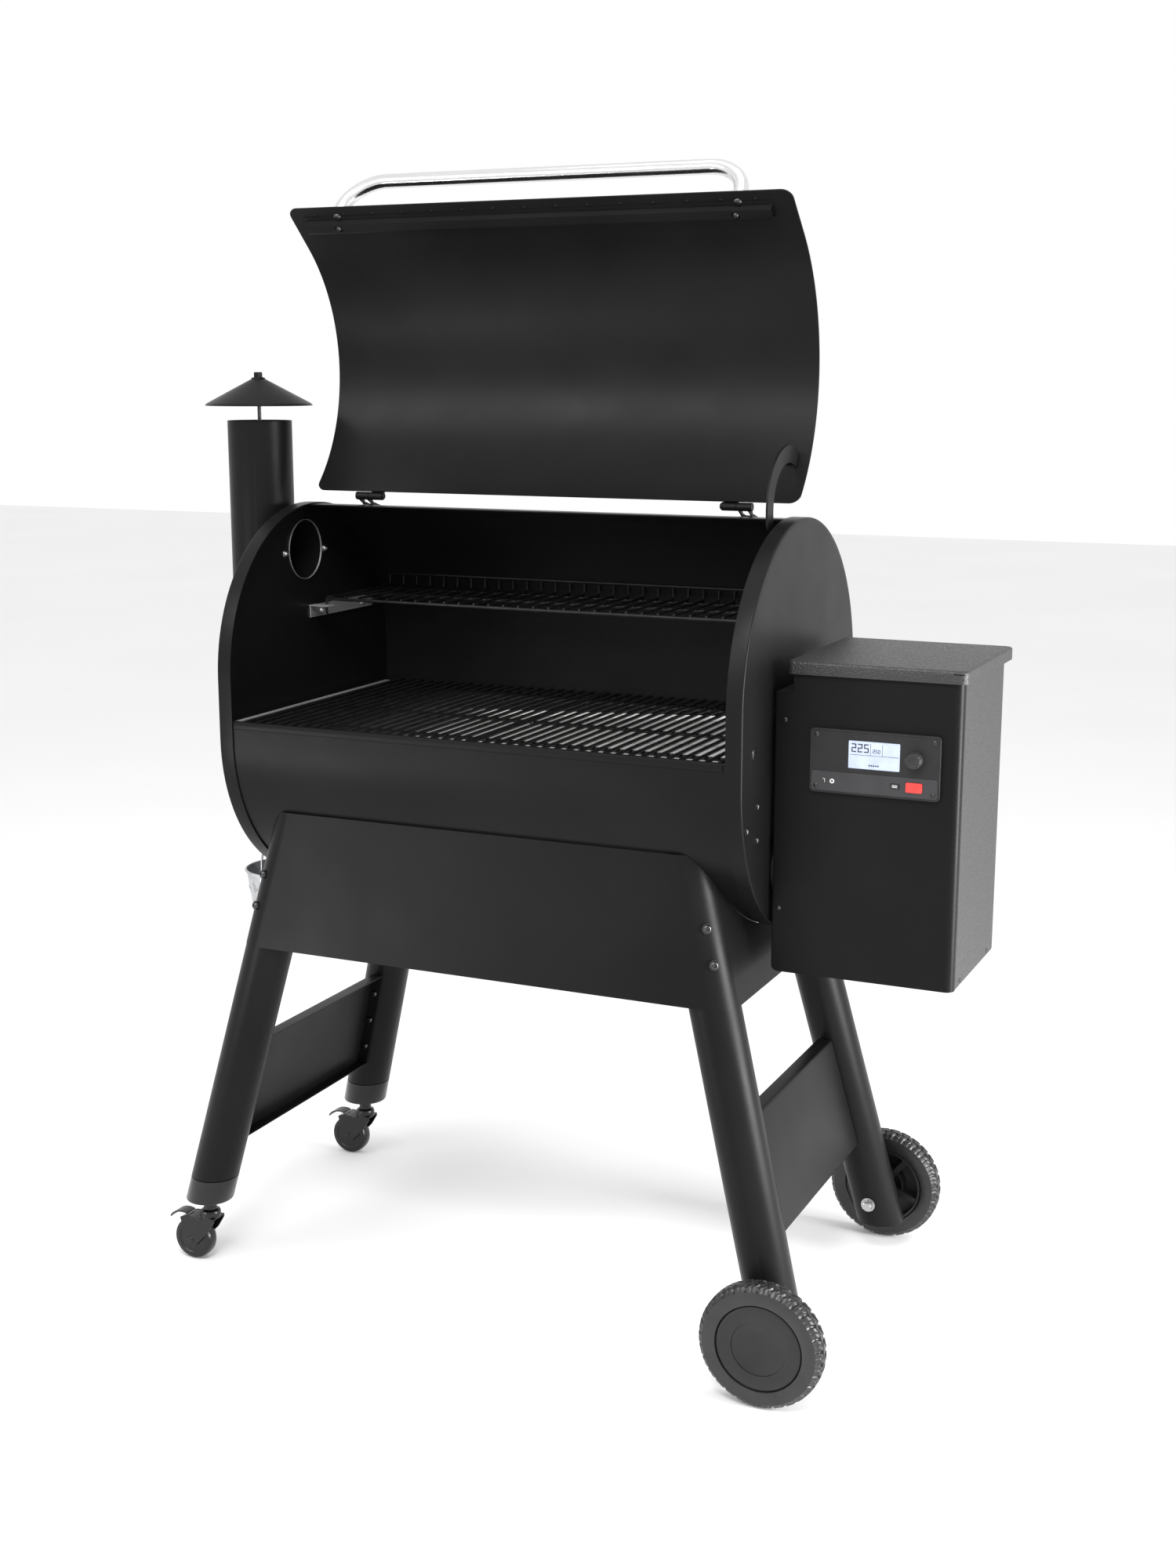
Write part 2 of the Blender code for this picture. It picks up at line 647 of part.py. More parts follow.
def make_chimney():
    can = rod((CHIMNEY_X, 0, CHIMNEY_FOOT), (CHIMNEY_X, 0, CHIMNEY_TOP), CHIMNEY_R, sides=36)
    pipe = finished("chimney_pipe", can, BLACK_COAT)
    wall_x = -BARREL_HALF - GAP
    join(pipe, rod((CHIMNEY_X, 0, PORT_Z), (wall_x, 0, PORT_Z), PORT_R + 0.0015, sides=32))
    flange = arc((0, PORT_Z), FLANGE_R, 30, 150, 7) + [(-FLANGE_REACH, PORT_Z)]
    flange += arc((0, PORT_Z), FLANGE_R, 210, 330, 7) + [(FLANGE_REACH, PORT_Z)]
    join(pipe, plate([flange], 0.003, YZ_PLANE, wall_x - 0.0015))
    inside = CHIMNEY_R - 0.0015
    cut(pipe, rod((CHIMNEY_X, 0, CHIMNEY_FOOT + 0.002), (CHIMNEY_X, 0, CHIMNEY_TOP + 0.01), inside, sides=36))
    cut(pipe, rod((CHIMNEY_X, 0, PORT_Z), (wall_x + 0.01, 0, PORT_Z), PORT_R, sides=32))
    bar_z = CHIMNEY_TOP - 0.012
    reach = CHIMNEY_R - 0.0007
    join(pipe, box((CHIMNEY_X - reach, -0.006, bar_z - 0.0015), (CHIMNEY_X + reach, 0.006, bar_z + 0.0015)))
    join(pipe, rod((CHIMNEY_X, 0, bar_z), (CHIMNEY_X, 0, CAP_TOP + 0.004), 0.003, sides=12))


def make_chimney_cap():
    """A thin cone with a nut on top, on the threaded stem."""
    bore, nut = 0.0034, 0.0075
    profile = [(bore, CAP_TOP + 0.007), (nut, CAP_TOP + 0.007), (nut, CAP_TOP), (CAP_R, CAP_Z + 0.0015)]
    profile += [(CAP_R, CAP_Z), (nut, CAP_TOP - 0.0022), (bore, CAP_TOP - 0.0022)]
    profile = [(radius, height - CAP_Z) for radius, height in profile]
    turned("chimney_cap", profile, (CHIMNEY_X, 0, CAP_Z), (0, 0, 1), BLACK_COAT, 36)


# ---------------------------------------------------------------- hopper and controller


def hopper_outline():
    corner = (HOPPER_RIGHT - HOPPER_CORNER, HOPPER_FRONT + HOPPER_CORNER)
    points = [(HOPPER_LEFT, HOPPER_FRONT)] + arc(corner, HOPPER_CORNER, -90, 0, 5)
    return points + [(HOPPER_RIGHT, HOPPER_BACK), (HOPPER_LEFT, HOPPER_BACK)]


def make_hopper_casing():
    rings = [[(x, y, z) for x, y in hopper_outline()] for z in (HOPPER_BOTTOM, HOPPER_TOP)]
    casing = finished("hopper_casing", lofted(rings, True, True), BLACK_COAT)
    solidify(casing, SHEET, -1.0)
    left = HOPPER_LEFT - 0.01
    front, back = HOPPER_FRONT - 0.01, HOPPER_BACK + 0.01
    step = box((left, front, HOPPER_STEP_Z), (HOPPER_STEP_X, back, HOPPER_TOP + 0.01))
    window = box((0.4835, front, 0.840), (0.6435, HOPPER_FRONT + 0.01, 0.910))
    tube = rod((left, 0, AUGER_Z), (HOPPER_LEFT + 0.01, 0, AUGER_Z), AUGER_TUBE_R + GAP)
    duct = rod((left, *FAN_AXIS), (HOPPER_LEFT + 0.01, *FAN_AXIS), FAN_R + 2 * GAP)
    inlet = box((0.6005, HOPPER_BACK - 0.01, 0.6005), (0.6455, back, 0.6275))
    cleanout = box((0.500, HOPPER_BACK - 0.01, 0.725), (0.580, back, 0.785))
    cut(casing, step, window, tube, duct, inlet, cleanout)
    inner = (HOPPER_FRONT + 0.0005, HOPPER_BACK - 0.0005)
    ledge_x, ledge_z = HOPPER_STEP_X + SHEET, HOPPER_STEP_Z - SHEET
    join(casing, box((HOPPER_LEFT + 0.0005, inner[0], ledge_z), (ledge_x, inner[1], HOPPER_STEP_Z + 0.0002)))
    join(casing, box((HOPPER_STEP_X - 0.0002, inner[0], ledge_z), (ledge_x, inner[1], HOPPER_TOP - 0.0005)))
    y, z = HOPPER_HINGE
    for x in (0.470, 0.648):
        join(casing, box((x, HOPPER_BACK - 0.001, z - 0.006), (x + 0.004, y + 0.006, z + 0.006)))
    join(casing, rod((0.472, y, z), (0.650, y, z), 0.003, sides=12))


def make_pellet_bin():
    """The funnel over the feed screw."""
    levels = (
        (0.4785, 0.5455, -0.0175, 0.0175, 0.7130),
        (0.4500, 0.6700, -0.0880, 0.0900, 0.800),
        (0.4500, 0.6700, -0.0880, 0.0900, 0.985),
    )
    rings = [[(x0, y0, z), (x1, y0, z), (x1, y1, z), (x0, y1, z)] for x0, x1, y0, y1, z in levels]
    hopper_bin = finished("pellet_bin", lofted(rings, True, False), GALVANISED)
    solidify(hopper_bin, 0.0015, 1.0)


def make_hopper_lid():
    low = (HOPPER_LID_LEFT, -HOPPER_LID_HALF_Y)
    high = (HOPPER_LID_RIGHT, HOPPER_LID_HALF_Y)
    inset = 0.002
    inner_low = (low[0] + inset, low[1] + inset)
    inner_high = (high[0] - inset, high[1] - inset)
    top = rounded_rectangle(inner_low, inner_high, 0.008)
    side = rounded_rectangle(low, high, 0.010)
    rings = [[(x, y, HOPPER_LID_TOP) for x, y in top], [(x, y, HOPPER_LID_TOP - inset) for x, y in side]]
    rings.append([(x, y, HOPPER_LID_Z) for x, y in side])
    y, z = HOPPER_HINGE
    lid = finished("hopper_lid", lofted(rings, True, True), TEXTURED_COAT, (0.56, y, z))
    solidify(lid, 0.0015, -1.0)
    for x in (0.4745, 0.6315):
        join(lid, rod((x, y, z), (x + 0.016, y, z), 0.0062, sides=16))
        join(lid, box((x, y - 0.004, z + 0.003), (x + 0.016, y + 0.004, HOPPER_LID_TOP - 0.001)))
    cut(lid, rod((0.46, y, z), (0.66, y, z), 0.003 + RUNNING_GAP, sides=24))


def panel_pocket(low, high, depth):
    return box((low[0], PANEL_FACE - 0.01, low[1]), (high[0], PANEL_FACE + depth, high[1]))


def panel_piece(name, low, high, front, back, coat):
    """A small block in a pocket of the control panel, between two depths behind the panel's face."""
    low_corner = (low[0] + GAP, PANEL_FACE + front, low[1] + GAP)
    high_corner = (high[0] - GAP, PANEL_FACE + back, high[1] - GAP)
    origin = ((low[0] + high[0]) / 2, PANEL_FACE + front, (low[1] + high[1]) / 2)
    finished(name, box(low_corner, high_corner), coat, origin)


def make_controller():
    face = PANEL_FACE
    outline = rounded_rectangle(PANEL_LOW, PANEL_HIGH, 0.005)
    thickness = PANEL_THICK - GAP
    panel = finished("control_panel", plate([outline], thickness, XZ_PLANE, -face - thickness / 2), PLASTIC)
    join(panel, box((0.486, HOPPER_FRONT - 0.002, 0.8425), (0.641, -0.100, 0.9075)))
    knob = (0.6189, 0.8854)
    lcd_low, lcd_high = (0.5264, 0.867), (0.5982, 0.9055)
    ignite_low, ignite_high = (0.6073, 0.8405), (0.6304, 0.8545)
    menu_low, menu_high = (0.5860, 0.8440), (0.5990, 0.8510)
    cut(
        panel,
        panel_pocket(lcd_low, lcd_high, 0.004),
        panel_pocket(ignite_low, ignite_high, 0.008),
        panel_pocket(menu_low, menu_high, 0.008),
        rod((knob[0], face - 0.01, knob[1]), (knob[0], face + 0.012, knob[1]), 0.0035, sides=16),
        rod((0.5049, face - 0.01, 0.8474), (0.5049, face + 0.014, 0.8474), 0.0020, sides=12),
    )
    panel_piece("lcd_display", lcd_low, lcd_high, 0.0012, 0.0037, GLASS)
    panel_piece("ignite_button", ignite_low, ignite_high, -0.0012, 0.0055, RED)
    panel_piece("menu_button", menu_low, menu_high, -0.0008, 0.0055, PLASTIC)
    profile = [(0, 0.013), (0.0100, 0.013), (0.0112, 0.0115), (0.0118, 0.0015), (0.0118, 0.0005)]
    profile += [(0.0033, 0.0005), (0.0033, -0.010), (0, -0.010)]
    turned("control_knob", profile, (knob[0], face, knob[1]), (0, -1, 0), PLASTIC, 24)


def make_fan():
    y, z = FAN_AXIS
    start, end = BARREL_HALF - 0.008, 0.478
    housing = finished("fan_housing", rod((start, y, z), (end, y, z), FAN_R), PLASTIC)
    cut(housing, rod((start - 0.01, y, z), (end + 0.01, y, z), FAN_R - SHEET))
    join(housing, box((end - 0.004, y - 0.040, z - 0.004), (end - 0.001, y + 0.040, z + 0.004)))
    join(housing, box((end - 0.004, y - 0.004, z - 0.040), (end - 0.001, y + 0.004, z + 0.040)))
    join(housing, rod((end - 0.012, y, z), (end + 0.020, y, z), 0.016, sides=20))
    centre = (0.445, y, z)
    core = rod((0.432, y, z), (end - 0.0125, y, z), 0.011, sides=20)
    impeller = finished("fan_impeller", core, PLASTIC, centre)
    for i in range(6):
        blade = box((-0.010, 0.004, -0.0008), (0.010, 0.036, 0.0008))
        blade.transform(Matrix.Rotation(math.radians(35), 4, "Y"))
        blade.transform(Matrix.Rotation(math.radians(60 * i), 4, "X"))
        blade.transform(Matrix.Translation(centre))
        join(impeller, blade)


def make_back_fittings():
    """The mains inlet and the sliding clean-out door, on the hopper's back."""
    back = HOPPER_BACK + GAP
    outline = rounded_rectangle((0.594, 0.5915), (0.652, 0.6365), 0.004)
    inlet = finished("power_inlet", plate([outline], 0.002, XZ_PLANE, -back - 0.001), PLASTIC)
    join(inlet, box((0.601, 0.080, 0.601), (0.645, back + 0.001, 0.627)))
    cut(inlet, box((0.605, 0.090, 0.604), (0.641, back + 0.01, 0.624)))
    for x in (0.614, 0.623, 0.632):
        join(inlet, box((x - 0.001, 0.088, 0.611), (x + 0.001, 0.102, 0.617)))
    door = box((0.495, back, 0.720), (0.585, back + 0.002, 0.790))
    door = finished("cleanout_door", door, BLACK_COAT, (0.540, back, 0.720))
    join(door, rod((0.540, back + 0.001, 0.755), (0.540, back + 0.014, 0.755), 0.007, sides=16))


def make_temperature_probe():
    wall = BARREL_HALF - SHEET - GAP
    needle = rod((wall - 0.075, *PROBE_AXIS), (wall + 0.006, *PROBE_AXIS), 0.0035, sides=12)
    probe = finished("temperature_probe", needle, STEEL)
    join(probe, rod((wall - 0.008, *PROBE_AXIS), (wall, *PROBE_AXIS), 0.009, sides=16))


# ---------------------------------------------------------------- cart


def leg_centre(z):
    return LEG_X + LEG_SLOPE_X * (LEG_Z - z), LEG_Y + LEG_SLOPE_Y * (LEG_Z - z)


def leg_ring(side_x, side_y, z, radius, count=24):
    x, y = leg_centre(z)
    circle = arc((0, 0), radius, 0, 360 * (count - 1) / count, count)
    return [(side_x * x + u, side_y * y + v, z) for u, v in circle]


def make_leg(name, side_x, side_y):
    end = CASTER_LEG_END if side_x < 0 else WHEEL_LEG_END
    rings = [leg_ring(side_x, side_y, z, LEG_R) for z in (end, LEG_TOP)]
    leg = finished(name, lofted(rings, True, True), BLACK_COAT)
    solidify(leg, SHEET, -1.0)
    boolean(leg, BARREL_ENVELOPE, "DIFFERENCE")
    if side_x < 0:
        x, y = leg_centre(end)
        cut(leg, rod((-x, side_y * y, end - 0.01), (-x, side_y * y, end + 0.01), 0.0053, sides=16))
    else:
        x, y = leg_centre(WHEEL_R)
        ends = [(x, side_y * (y + shift), WHEEL_R) for shift in (-0.06, 0.06)]
        cut(leg, rod(*ends, AXLE_R + GAP, sides=20))


def skirt_row(side_y, z, radius):
    """Half of the apron's section at one height: round two legs, with a return along each side."""
    x, y = leg_centre(z)
    corner = arc((0, 0), radius, 0, 90, 7)
    right = [(x + radius, 0.0005)] + [(x + u, y + v) for u, v in corner]
    left = [(-u, v) for u, v in reversed(right)]
    return [(u, side_y * v, z) for u, v in right + left]


def make_skirt(name, side_y):
    radius = LEG_R + GAP
    rows = [skirt_row(side_y, z, radius) for z in (SKIRT_BOTTOM, SKIRT_TOP)]
    skirt = finished(name, lofted(rows, False, False), BLACK_COAT)
    face = max(skirt.data.polygons, key=lambda item: item.area)
    solidify(skirt, 0.0016, 1.0 if face.normal.y * side_y > 0 else -1.0)
    boolean(skirt, BARREL_ENVELOPE, "DIFFERENCE")


def make_side_panel(name, side):
    """A pan between the front and rear legs: a tilted face with flanges turned in towards the cart."""
    def row(z, inset):
        x, y = leg_centre(z)
        half = y - LEG_R - 0.0008
        return [(side * (x + 0.010 - inset), v, z) for v in (-half, half)]

    low, high = row(SIDE_PANEL_BOTTOM, 0), row(SIDE_PANEL_TOP, 0)
    back_low, back_high = row(SIDE_PANEL_BOTTOM, 0.022), row(SIDE_PANEL_TOP, 0.022)
    rings = [[low[0], low[1], high[1], high[0]], [back_low[0], back_low[1], back_high[1], back_high[0]]]
    solidify(finished(name, lofted(rings, True, True), BLACK_COAT), SHEET, -1.0)


def make_wheel(name, side_y):
    """A tyre on a dished hub, and its axle bolt through the leg. The hub's dish looks away from the cart."""
    x, leg_y = leg_centre(WHEEL_R)
    centre = (x, side_y * WHEEL_Y, WHEEL_R)
    outward = (0, side_y, 0)
    half = WHEEL_HALF_WIDTH
    rim = HUB_R + GAP
    tyre = [(rim, half), (0.0830, half), (0.0875, half - 0.0035), (WHEEL_R, half - 0.0100)]
    tyre += [(WHEEL_R, 0.0100 - half), (0.0875, 0.0035 - half), (0.0830, -half), (rim, -half)]
    turned(f"tyre_{name}", tyre, centre, outward, TYRE, 36)
    hub = [(0, half - 0.004), (0.0440, half - 0.004), (0.0500, half), (0.0600, half), (HUB_R, half - 0.002)]
    hub += [(HUB_R, 0.002 - half), (HUB_R - 0.004, 0.002 - half), (HUB_R - 0.004, half - 0.008)]
    hub += [(0.0130, half - 0.010), (0.0130, 0.002 - half), (AXLE_R + RUNNING_GAP, 0.002 - half)]
    hub += [(AXLE_R + RUNNING_GAP, half - 0.0095), (0, half - 0.0095)]
    turned(f"hub_{name}", hub, centre, outward, PLASTIC, 32)
    tip, end = WHEEL_Y + half - 0.0100, leg_y - LEG_R - 0.012
    bolt = rod((x, side_y * tip, WHEEL_R), (x, side_y * end, WHEEL_R), AXLE_R, sides=32)
    axle = finished(f"axle_{name}", bolt, STEEL)
    nut_start = leg_y - LEG_R - 0.0018
    nut_end = nut_start - 0.006
    join(axle, rod((x, side_y * nut_start, WHEEL_R), (x, side_y * nut_end, WHEEL_R), 0.0098, sides=6))


def make_caster(name, side_y):
    """A swivel fork on a stem in the leg's end, a wheel on the fork's pin, and a brake pedal."""
    leg_x, leg_y = leg_centre(CASTER_LEG_END)
    stem = (-leg_x, side_y * leg_y)
    hub = Vector((stem[0] - CASTER_TRAIL, stem[1], CASTER_R))
    fork_top = 0.0765
    pin = rod((*stem, 0.070), (*stem, 0.122), 0.005, sides=16)
    fork = finished(f"caster_fork_{name}", pin, PLASTIC, (*stem, 0.09))
    join(fork, rod((*stem, 0.0745), (*stem, CASTER_LEG_END - GAP), 0.016, sides=20))
    cheek = arc((hub.x, hub.z), 0.0300, 110, 300, 12)
    cheek += [(stem[0] + 0.004, 0.050), (stem[0] + 0.014, fork_top), (hub.x + 0.004, fork_top)]
    for shift in (-0.01425, 0.01425):
        join(fork, plate([cheek], 0.0025, XZ_PLANE, -hub.y + shift))
    join(fork, box((hub.x - 0.004, hub.y - 0.0155, 0.0725), (stem[0] + 0.014, hub.y + 0.0155, fork_top)))
    join(fork, rod(hub + Vector((0, -0.0165, 0)), hub + Vector((0, 0.0165, 0)), 0.004, sides=16))
    profile = [(0.004 + RUNNING_GAP, 0.0115), (0.030, 0.0115), (CASTER_R, 0.0085), (CASTER_R, -0.0085)]
    profile += [(0.030, -0.0115), (0.004 + RUNNING_GAP, -0.0115)]
    turned(f"caster_wheel_{name}", profile, hub, (0, side_y, 0), PLASTIC, 28)
    pivot = Vector((hub.x - 0.008, hub.y, 0.0700))
    pedal = [(0.000, 0.0057), (-0.012, 0.0070), (-0.024, 0.0045), (-0.033, -0.0045)]
    pedal += [(-0.031, -0.0060), (-0.022, 0.0015), (-0.012, 0.0035), (0.000, 0.0025)]
    pedal = [(pivot.x + u, pivot.z + v) for u, v in pedal]
    finished(f"brake_pedal_{name}", plate([pedal], 0.024, XZ_PLANE, -hub.y), PLASTIC, pivot)


def make_bucket():
    rim, foot, wall = BUCKET_R, BUCKET_FOOT_R, 0.001
    profile = [(0, wall), (foot - wall, wall), (rim - wall, BUCKET_HEIGHT - 0.002)]
    profile += [(rim - wall, BUCKET_HEIGHT)]
    profile += [(rim + 0.002, BUCKET_HEIGHT), (rim + 0.002, BUCKET_HEIGHT - 0.003)]
    profile += [(rim, BUCKET_HEIGHT - 0.004), (foot, 0), (0, 0)]
    base = (CHIMNEY_X, DRAIN_Y, BUCKET_RIM_Z - BUCKET_HEIGHT)
    bucket = turned("grease_bucket", profile, base, (0, 0, 1), GALVANISED, 32)
    ear_z = BUCKET_RIM_Z - 0.010
    cut(bucket, rod((CHIMNEY_X, DRAIN_Y - 0.08, ear_z), (CHIMNEY_X, DRAIN_Y + 0.08, ear_z), 0.0028, sides=12))
    shoulder_z = DRAIN_Z + DRAIN_R + GAP + BAIL_WIRE_R - BAIL_R
    arch = arc((DRAIN_Y, shoulder_z), BAIL_R, 0, 180, 17)
    loop = [(DRAIN_Y + 0.060, ear_z), (DRAIN_Y + BAIL_R, ear_z)] + arch
    loop += [(DRAIN_Y - BAIL_R, ear_z), (DRAIN_Y - 0.060, ear_z)]
    points = [(CHIMNEY_X, y, z) for y, z in loop]
    finished("bucket_bail", wire(points, BAIL_WIRE_R, 2), GALVANISED, (CHIMNEY_X, DRAIN_Y, DRAIN_Z))


def make_cart():
    for name, side_x, side_y in (
        ("leg_front_left", -1, -1),
        ("leg_rear_left", -1, 1),
        ("leg_front_right", 1, -1),
        ("leg_rear_right", 1, 1),
    ):
        make_leg(name, side_x, side_y)
    for name, side_y in (("front", -1), ("rear", 1)):
        make_skirt(f"skirt_{name}", side_y)
        make_wheel(name, side_y)
        make_caster(name, side_y)
    make_side_panel("side_panel_left", -1)
    make_side_panel("side_panel_right", 1)
    make_bucket()


make_barrel_shell()
make_end_panels()
make_lid()
make_grates()
make_upper_rack()
make_drip_tray()
make_drain()
make_heat_baffle()
make_fire_pot()
make_auger()
make_chimney()
make_chimney_cap()
make_hopper_casing()
make_pellet_bin()
make_hopper_lid()
make_controller()
make_fan()
make_back_fittings()
make_temperature_probe()
make_cart()
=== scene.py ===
"""The looks of the pellet smoker grill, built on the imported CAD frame. Metres, +Z up, the floor at z = 0."""

import json
import math

import bmesh
import bpy
import numpy as np
from mathutils import Matrix, Vector


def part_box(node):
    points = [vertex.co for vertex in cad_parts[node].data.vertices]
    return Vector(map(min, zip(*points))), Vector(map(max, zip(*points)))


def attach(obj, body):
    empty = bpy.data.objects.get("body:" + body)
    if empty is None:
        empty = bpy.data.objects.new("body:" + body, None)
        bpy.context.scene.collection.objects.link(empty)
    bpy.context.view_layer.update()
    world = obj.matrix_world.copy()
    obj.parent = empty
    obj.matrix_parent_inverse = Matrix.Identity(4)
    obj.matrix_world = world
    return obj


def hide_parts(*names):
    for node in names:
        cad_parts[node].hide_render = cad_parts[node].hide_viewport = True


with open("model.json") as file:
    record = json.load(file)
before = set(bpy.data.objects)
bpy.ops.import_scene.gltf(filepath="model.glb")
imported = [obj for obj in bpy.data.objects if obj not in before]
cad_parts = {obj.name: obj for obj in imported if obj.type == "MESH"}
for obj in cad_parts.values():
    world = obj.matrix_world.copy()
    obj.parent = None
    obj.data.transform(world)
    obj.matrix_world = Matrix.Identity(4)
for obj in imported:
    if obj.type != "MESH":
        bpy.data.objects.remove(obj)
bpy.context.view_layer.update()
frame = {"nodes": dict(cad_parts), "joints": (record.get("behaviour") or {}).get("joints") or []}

SCENE = bpy.context.scene
JOINTS = {joint["name"]: joint for joint in frame["joints"]}

# The barrel's sizes, read from the frame. Pieces are drawn with x = 0 at the barrel's middle, then shifted by X0.
LEFT_LO, LEFT_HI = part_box("left_end_panel")
RIGHT_LO, RIGHT_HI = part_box("right_end_panel")
X0 = (LEFT_LO.x + RIGHT_HI.x) / 2
HALF = (RIGHT_HI.x - LEFT_LO.x) / 2
RIM_R = LEFT_HI.y
RIM_DEPTH = RIGHT_HI.x - RIGHT_LO.x
MID_Z = (LEFT_LO.z + LEFT_HI.z) / 2
STRAIGHT = (LEFT_HI.z - LEFT_LO.z) / 2 - RIM_R
UPPER_Z = MID_Z + STRAIGHT
LOWER_Z = MID_Z - STRAIGHT
SHELL_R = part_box("barrel_shell")[1].y
SHIFT = Matrix.Translation((X0, 0, 0))

LID_JOINT = JOINTS["lid_hinge"]
LID_OPEN = math.radians(LID_JOINT["range_deg"][1])
HINGE_Y, HINGE_Z = LID_JOINT["pos_m"][1:]
TO_HINGE = Matrix.Translation((0, HINGE_Y, HINGE_Z))
LID_PLACE = SHIFT @ TO_HINGE @ Matrix.Rotation(-LID_OPEN, 4, "X") @ TO_HINGE.inverted()

YZ_PLANE = Matrix(((0, 0, 1), (1, 0, 0), (0, 1, 0))).to_4x4()
XZ_PLANE = Matrix(((1, 0, 0), (0, 0, -1), (0, 1, 0))).to_4x4()
XY_PLANE = Matrix.Identity(4)


def local_box(node):
    """A CAD node's corners with x measured from the barrel's middle."""
    low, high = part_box(node)
    return low - Vector((X0, 0, 0)), high - Vector((X0, 0, 0))


def local_point(joint):
    return Vector(JOINTS[joint]["pos_m"]) - Vector((X0, 0, 0))


# ---------------------------------------------------------------- materials


class Shader:
    """A Principled material with helpers that add texture nodes in object coordinates."""

    def __init__(self, name, **settings):
        self.material = bpy.data.materials.new(name)
        self.material.use_nodes = True
        self.tree = self.material.node_tree
        self.shader = self.tree.nodes["Principled BSDF"]
        self.coordinates = self.tree.nodes.new("ShaderNodeTexCoord").outputs["Object"]
        for key, value in settings.items():
            self.shader.inputs[key.replace("_", " ")].default_value = value

    def link(self, source, target):
        self.tree.links.new(source, target)

    def node(self, kind, links, values):
        made = self.tree.nodes.new("ShaderNode" + kind)
        for key, value in values.items():
            made.inputs[key].default_value = value
        for key, source in links.items():
            self.link(source, made.inputs[key])
        return made

    def stretched(self, scale):
        return self.node("Mapping", {"Vector": self.coordinates}, {"Scale": scale}).outputs["Vector"]

    def noise(self, scale, detail=2.0, roughness=0.5, vector=None):
        values = {"Scale": scale, "Detail": detail, "Roughness": roughness}
        return self.node("TexNoise", {"Vector": vector or self.coordinates}, values).outputs["Fac"]

    def voronoi(self, scale, output="Distance"):
        return self.node("TexVoronoi", {"Vector": self.coordinates}, {"Scale": scale}).outputs[output]

    def ramp(self, value, low, dark, high, light):
        node = self.node("ValToRGB", {"Fac": value}, {})
        for element, place, colour in zip(node.color_ramp.elements, (low, high), (dark, light)):
            element.position = place
            element.color = (*colour, 1)
        return node.outputs["Color"]

    def spread(self, value, low, high, start=0.3, end=0.7):
        values = {"From Min": start, "From Max": end, "To Min": low, "To Max": high}
        return self.node("MapRange", {"Value": value}, values).outputs["Result"]

    def multiply_add(self, value, factor, extra):
        node = self.node("Math", {0: value, 2: extra}, {1: factor})
        node.operation = "MULTIPLY_ADD"
        return node.outputs["Value"]

    def colour(self, source):
        self.link(source, self.shader.inputs["Base Color"])

    def rough(self, source):
        self.link(source, self.shader.inputs["Roughness"])

    def bump(self, height, depth):
        node = self.node("Bump", {"Height": height}, {"Distance": depth, "Strength": 1.0})
        self.link(node.outputs["Normal"], self.shader.inputs["Normal"])


def coated(name, dark, light, rough, grain, depth):
    """Powder coat: a fine orange peel, with faint cloudiness in its colour and gloss."""
    made = Shader(name, Specular_IOR_Level=0.10)
    made.colour(made.ramp(made.noise(5.0, 3), 0.3, dark, 0.7, light))
    made.rough(made.spread(made.noise(11.0, 4), rough - 0.035, rough + 0.045))
    made.bump(made.noise(grain, 3, 0.6), depth)
    return made.material


def hammered(name):
    made = Shader(name, Specular_IOR_Level=0.6)
    cells = made.voronoi(420.0)
    made.colour(made.ramp(cells, 0.0, (0.005, 0.005, 0.0055), 0.75, (0.014, 0.014, 0.015)))
    made.rough(made.spread(made.noise(300.0, 3), 0.36, 0.56))
    made.bump(made.multiply_add(cells, 1.0, made.noise(900.0, 3)), 0.00045)
    return made.material


def enamelled(name):
    made = Shader(name, Specular_IOR_Level=0.2)
    made.colour(made.ramp(made.noise(60.0, 4), 0.35, (0.006, 0.006, 0.006), 0.75, (0.014, 0.0135, 0.013)))
    made.rough(made.spread(made.noise(90.0, 3), 0.30, 0.46))
    made.bump(made.noise(260.0, 3), 0.0002)
    return made.material


def polished(name, colour, rough, along):
    """Steel with fine polishing lines along one axis."""
    made = Shader(name, Metallic=1.0)
    scale = [700.0, 700.0, 700.0]
    scale[along] = 9.0
    lines = made.noise(1.0, 4, 0.6, made.stretched(scale))
    light = tuple(min(1.0, c * 1.12) for c in colour)
    made.colour(made.ramp(lines, 0.3, colour, 0.7, light))
    made.rough(made.spread(lines, rough - 0.05, rough + 0.07))
    made.bump(lines, 0.00004)
    return made.material


def galvanised(name):
    made = Shader(name, Metallic=1.0)
    spangle = made.voronoi(95.0, output="Color")
    made.colour(made.ramp(spangle, 0.1, (0.40, 0.41, 0.42), 0.9, (0.66, 0.67, 0.68)))
    made.rough(made.spread(made.noise(70.0, 3), 0.26, 0.46))
    made.bump(made.noise(240.0, 2), 0.00015)
    return made.material


def moulded(name, dark, light, rough, grain=1500.0, gloss=0.25):
    made = Shader(name, Specular_IOR_Level=gloss)
    made.colour(made.ramp(made.noise(40.0, 3), 0.3, dark, 0.7, light))
    made.rough(made.spread(made.noise(25.0, 3), rough - 0.04, rough + 0.05))
    made.bump(made.noise(grain, 2), 0.00008)
    return made.material


def rubber(name):
    made = Shader(name, Specular_IOR_Level=0.5)
    made.colour(made.ramp(made.noise(30.0, 4), 0.3, (0.008, 0.008, 0.008), 0.75, (0.017, 0.017, 0.017)))
    made.rough(made.spread(made.noise(200.0, 3), 0.26, 0.44))
    made.bump(made.noise(1100.0, 3), 0.00015)
    return made.material


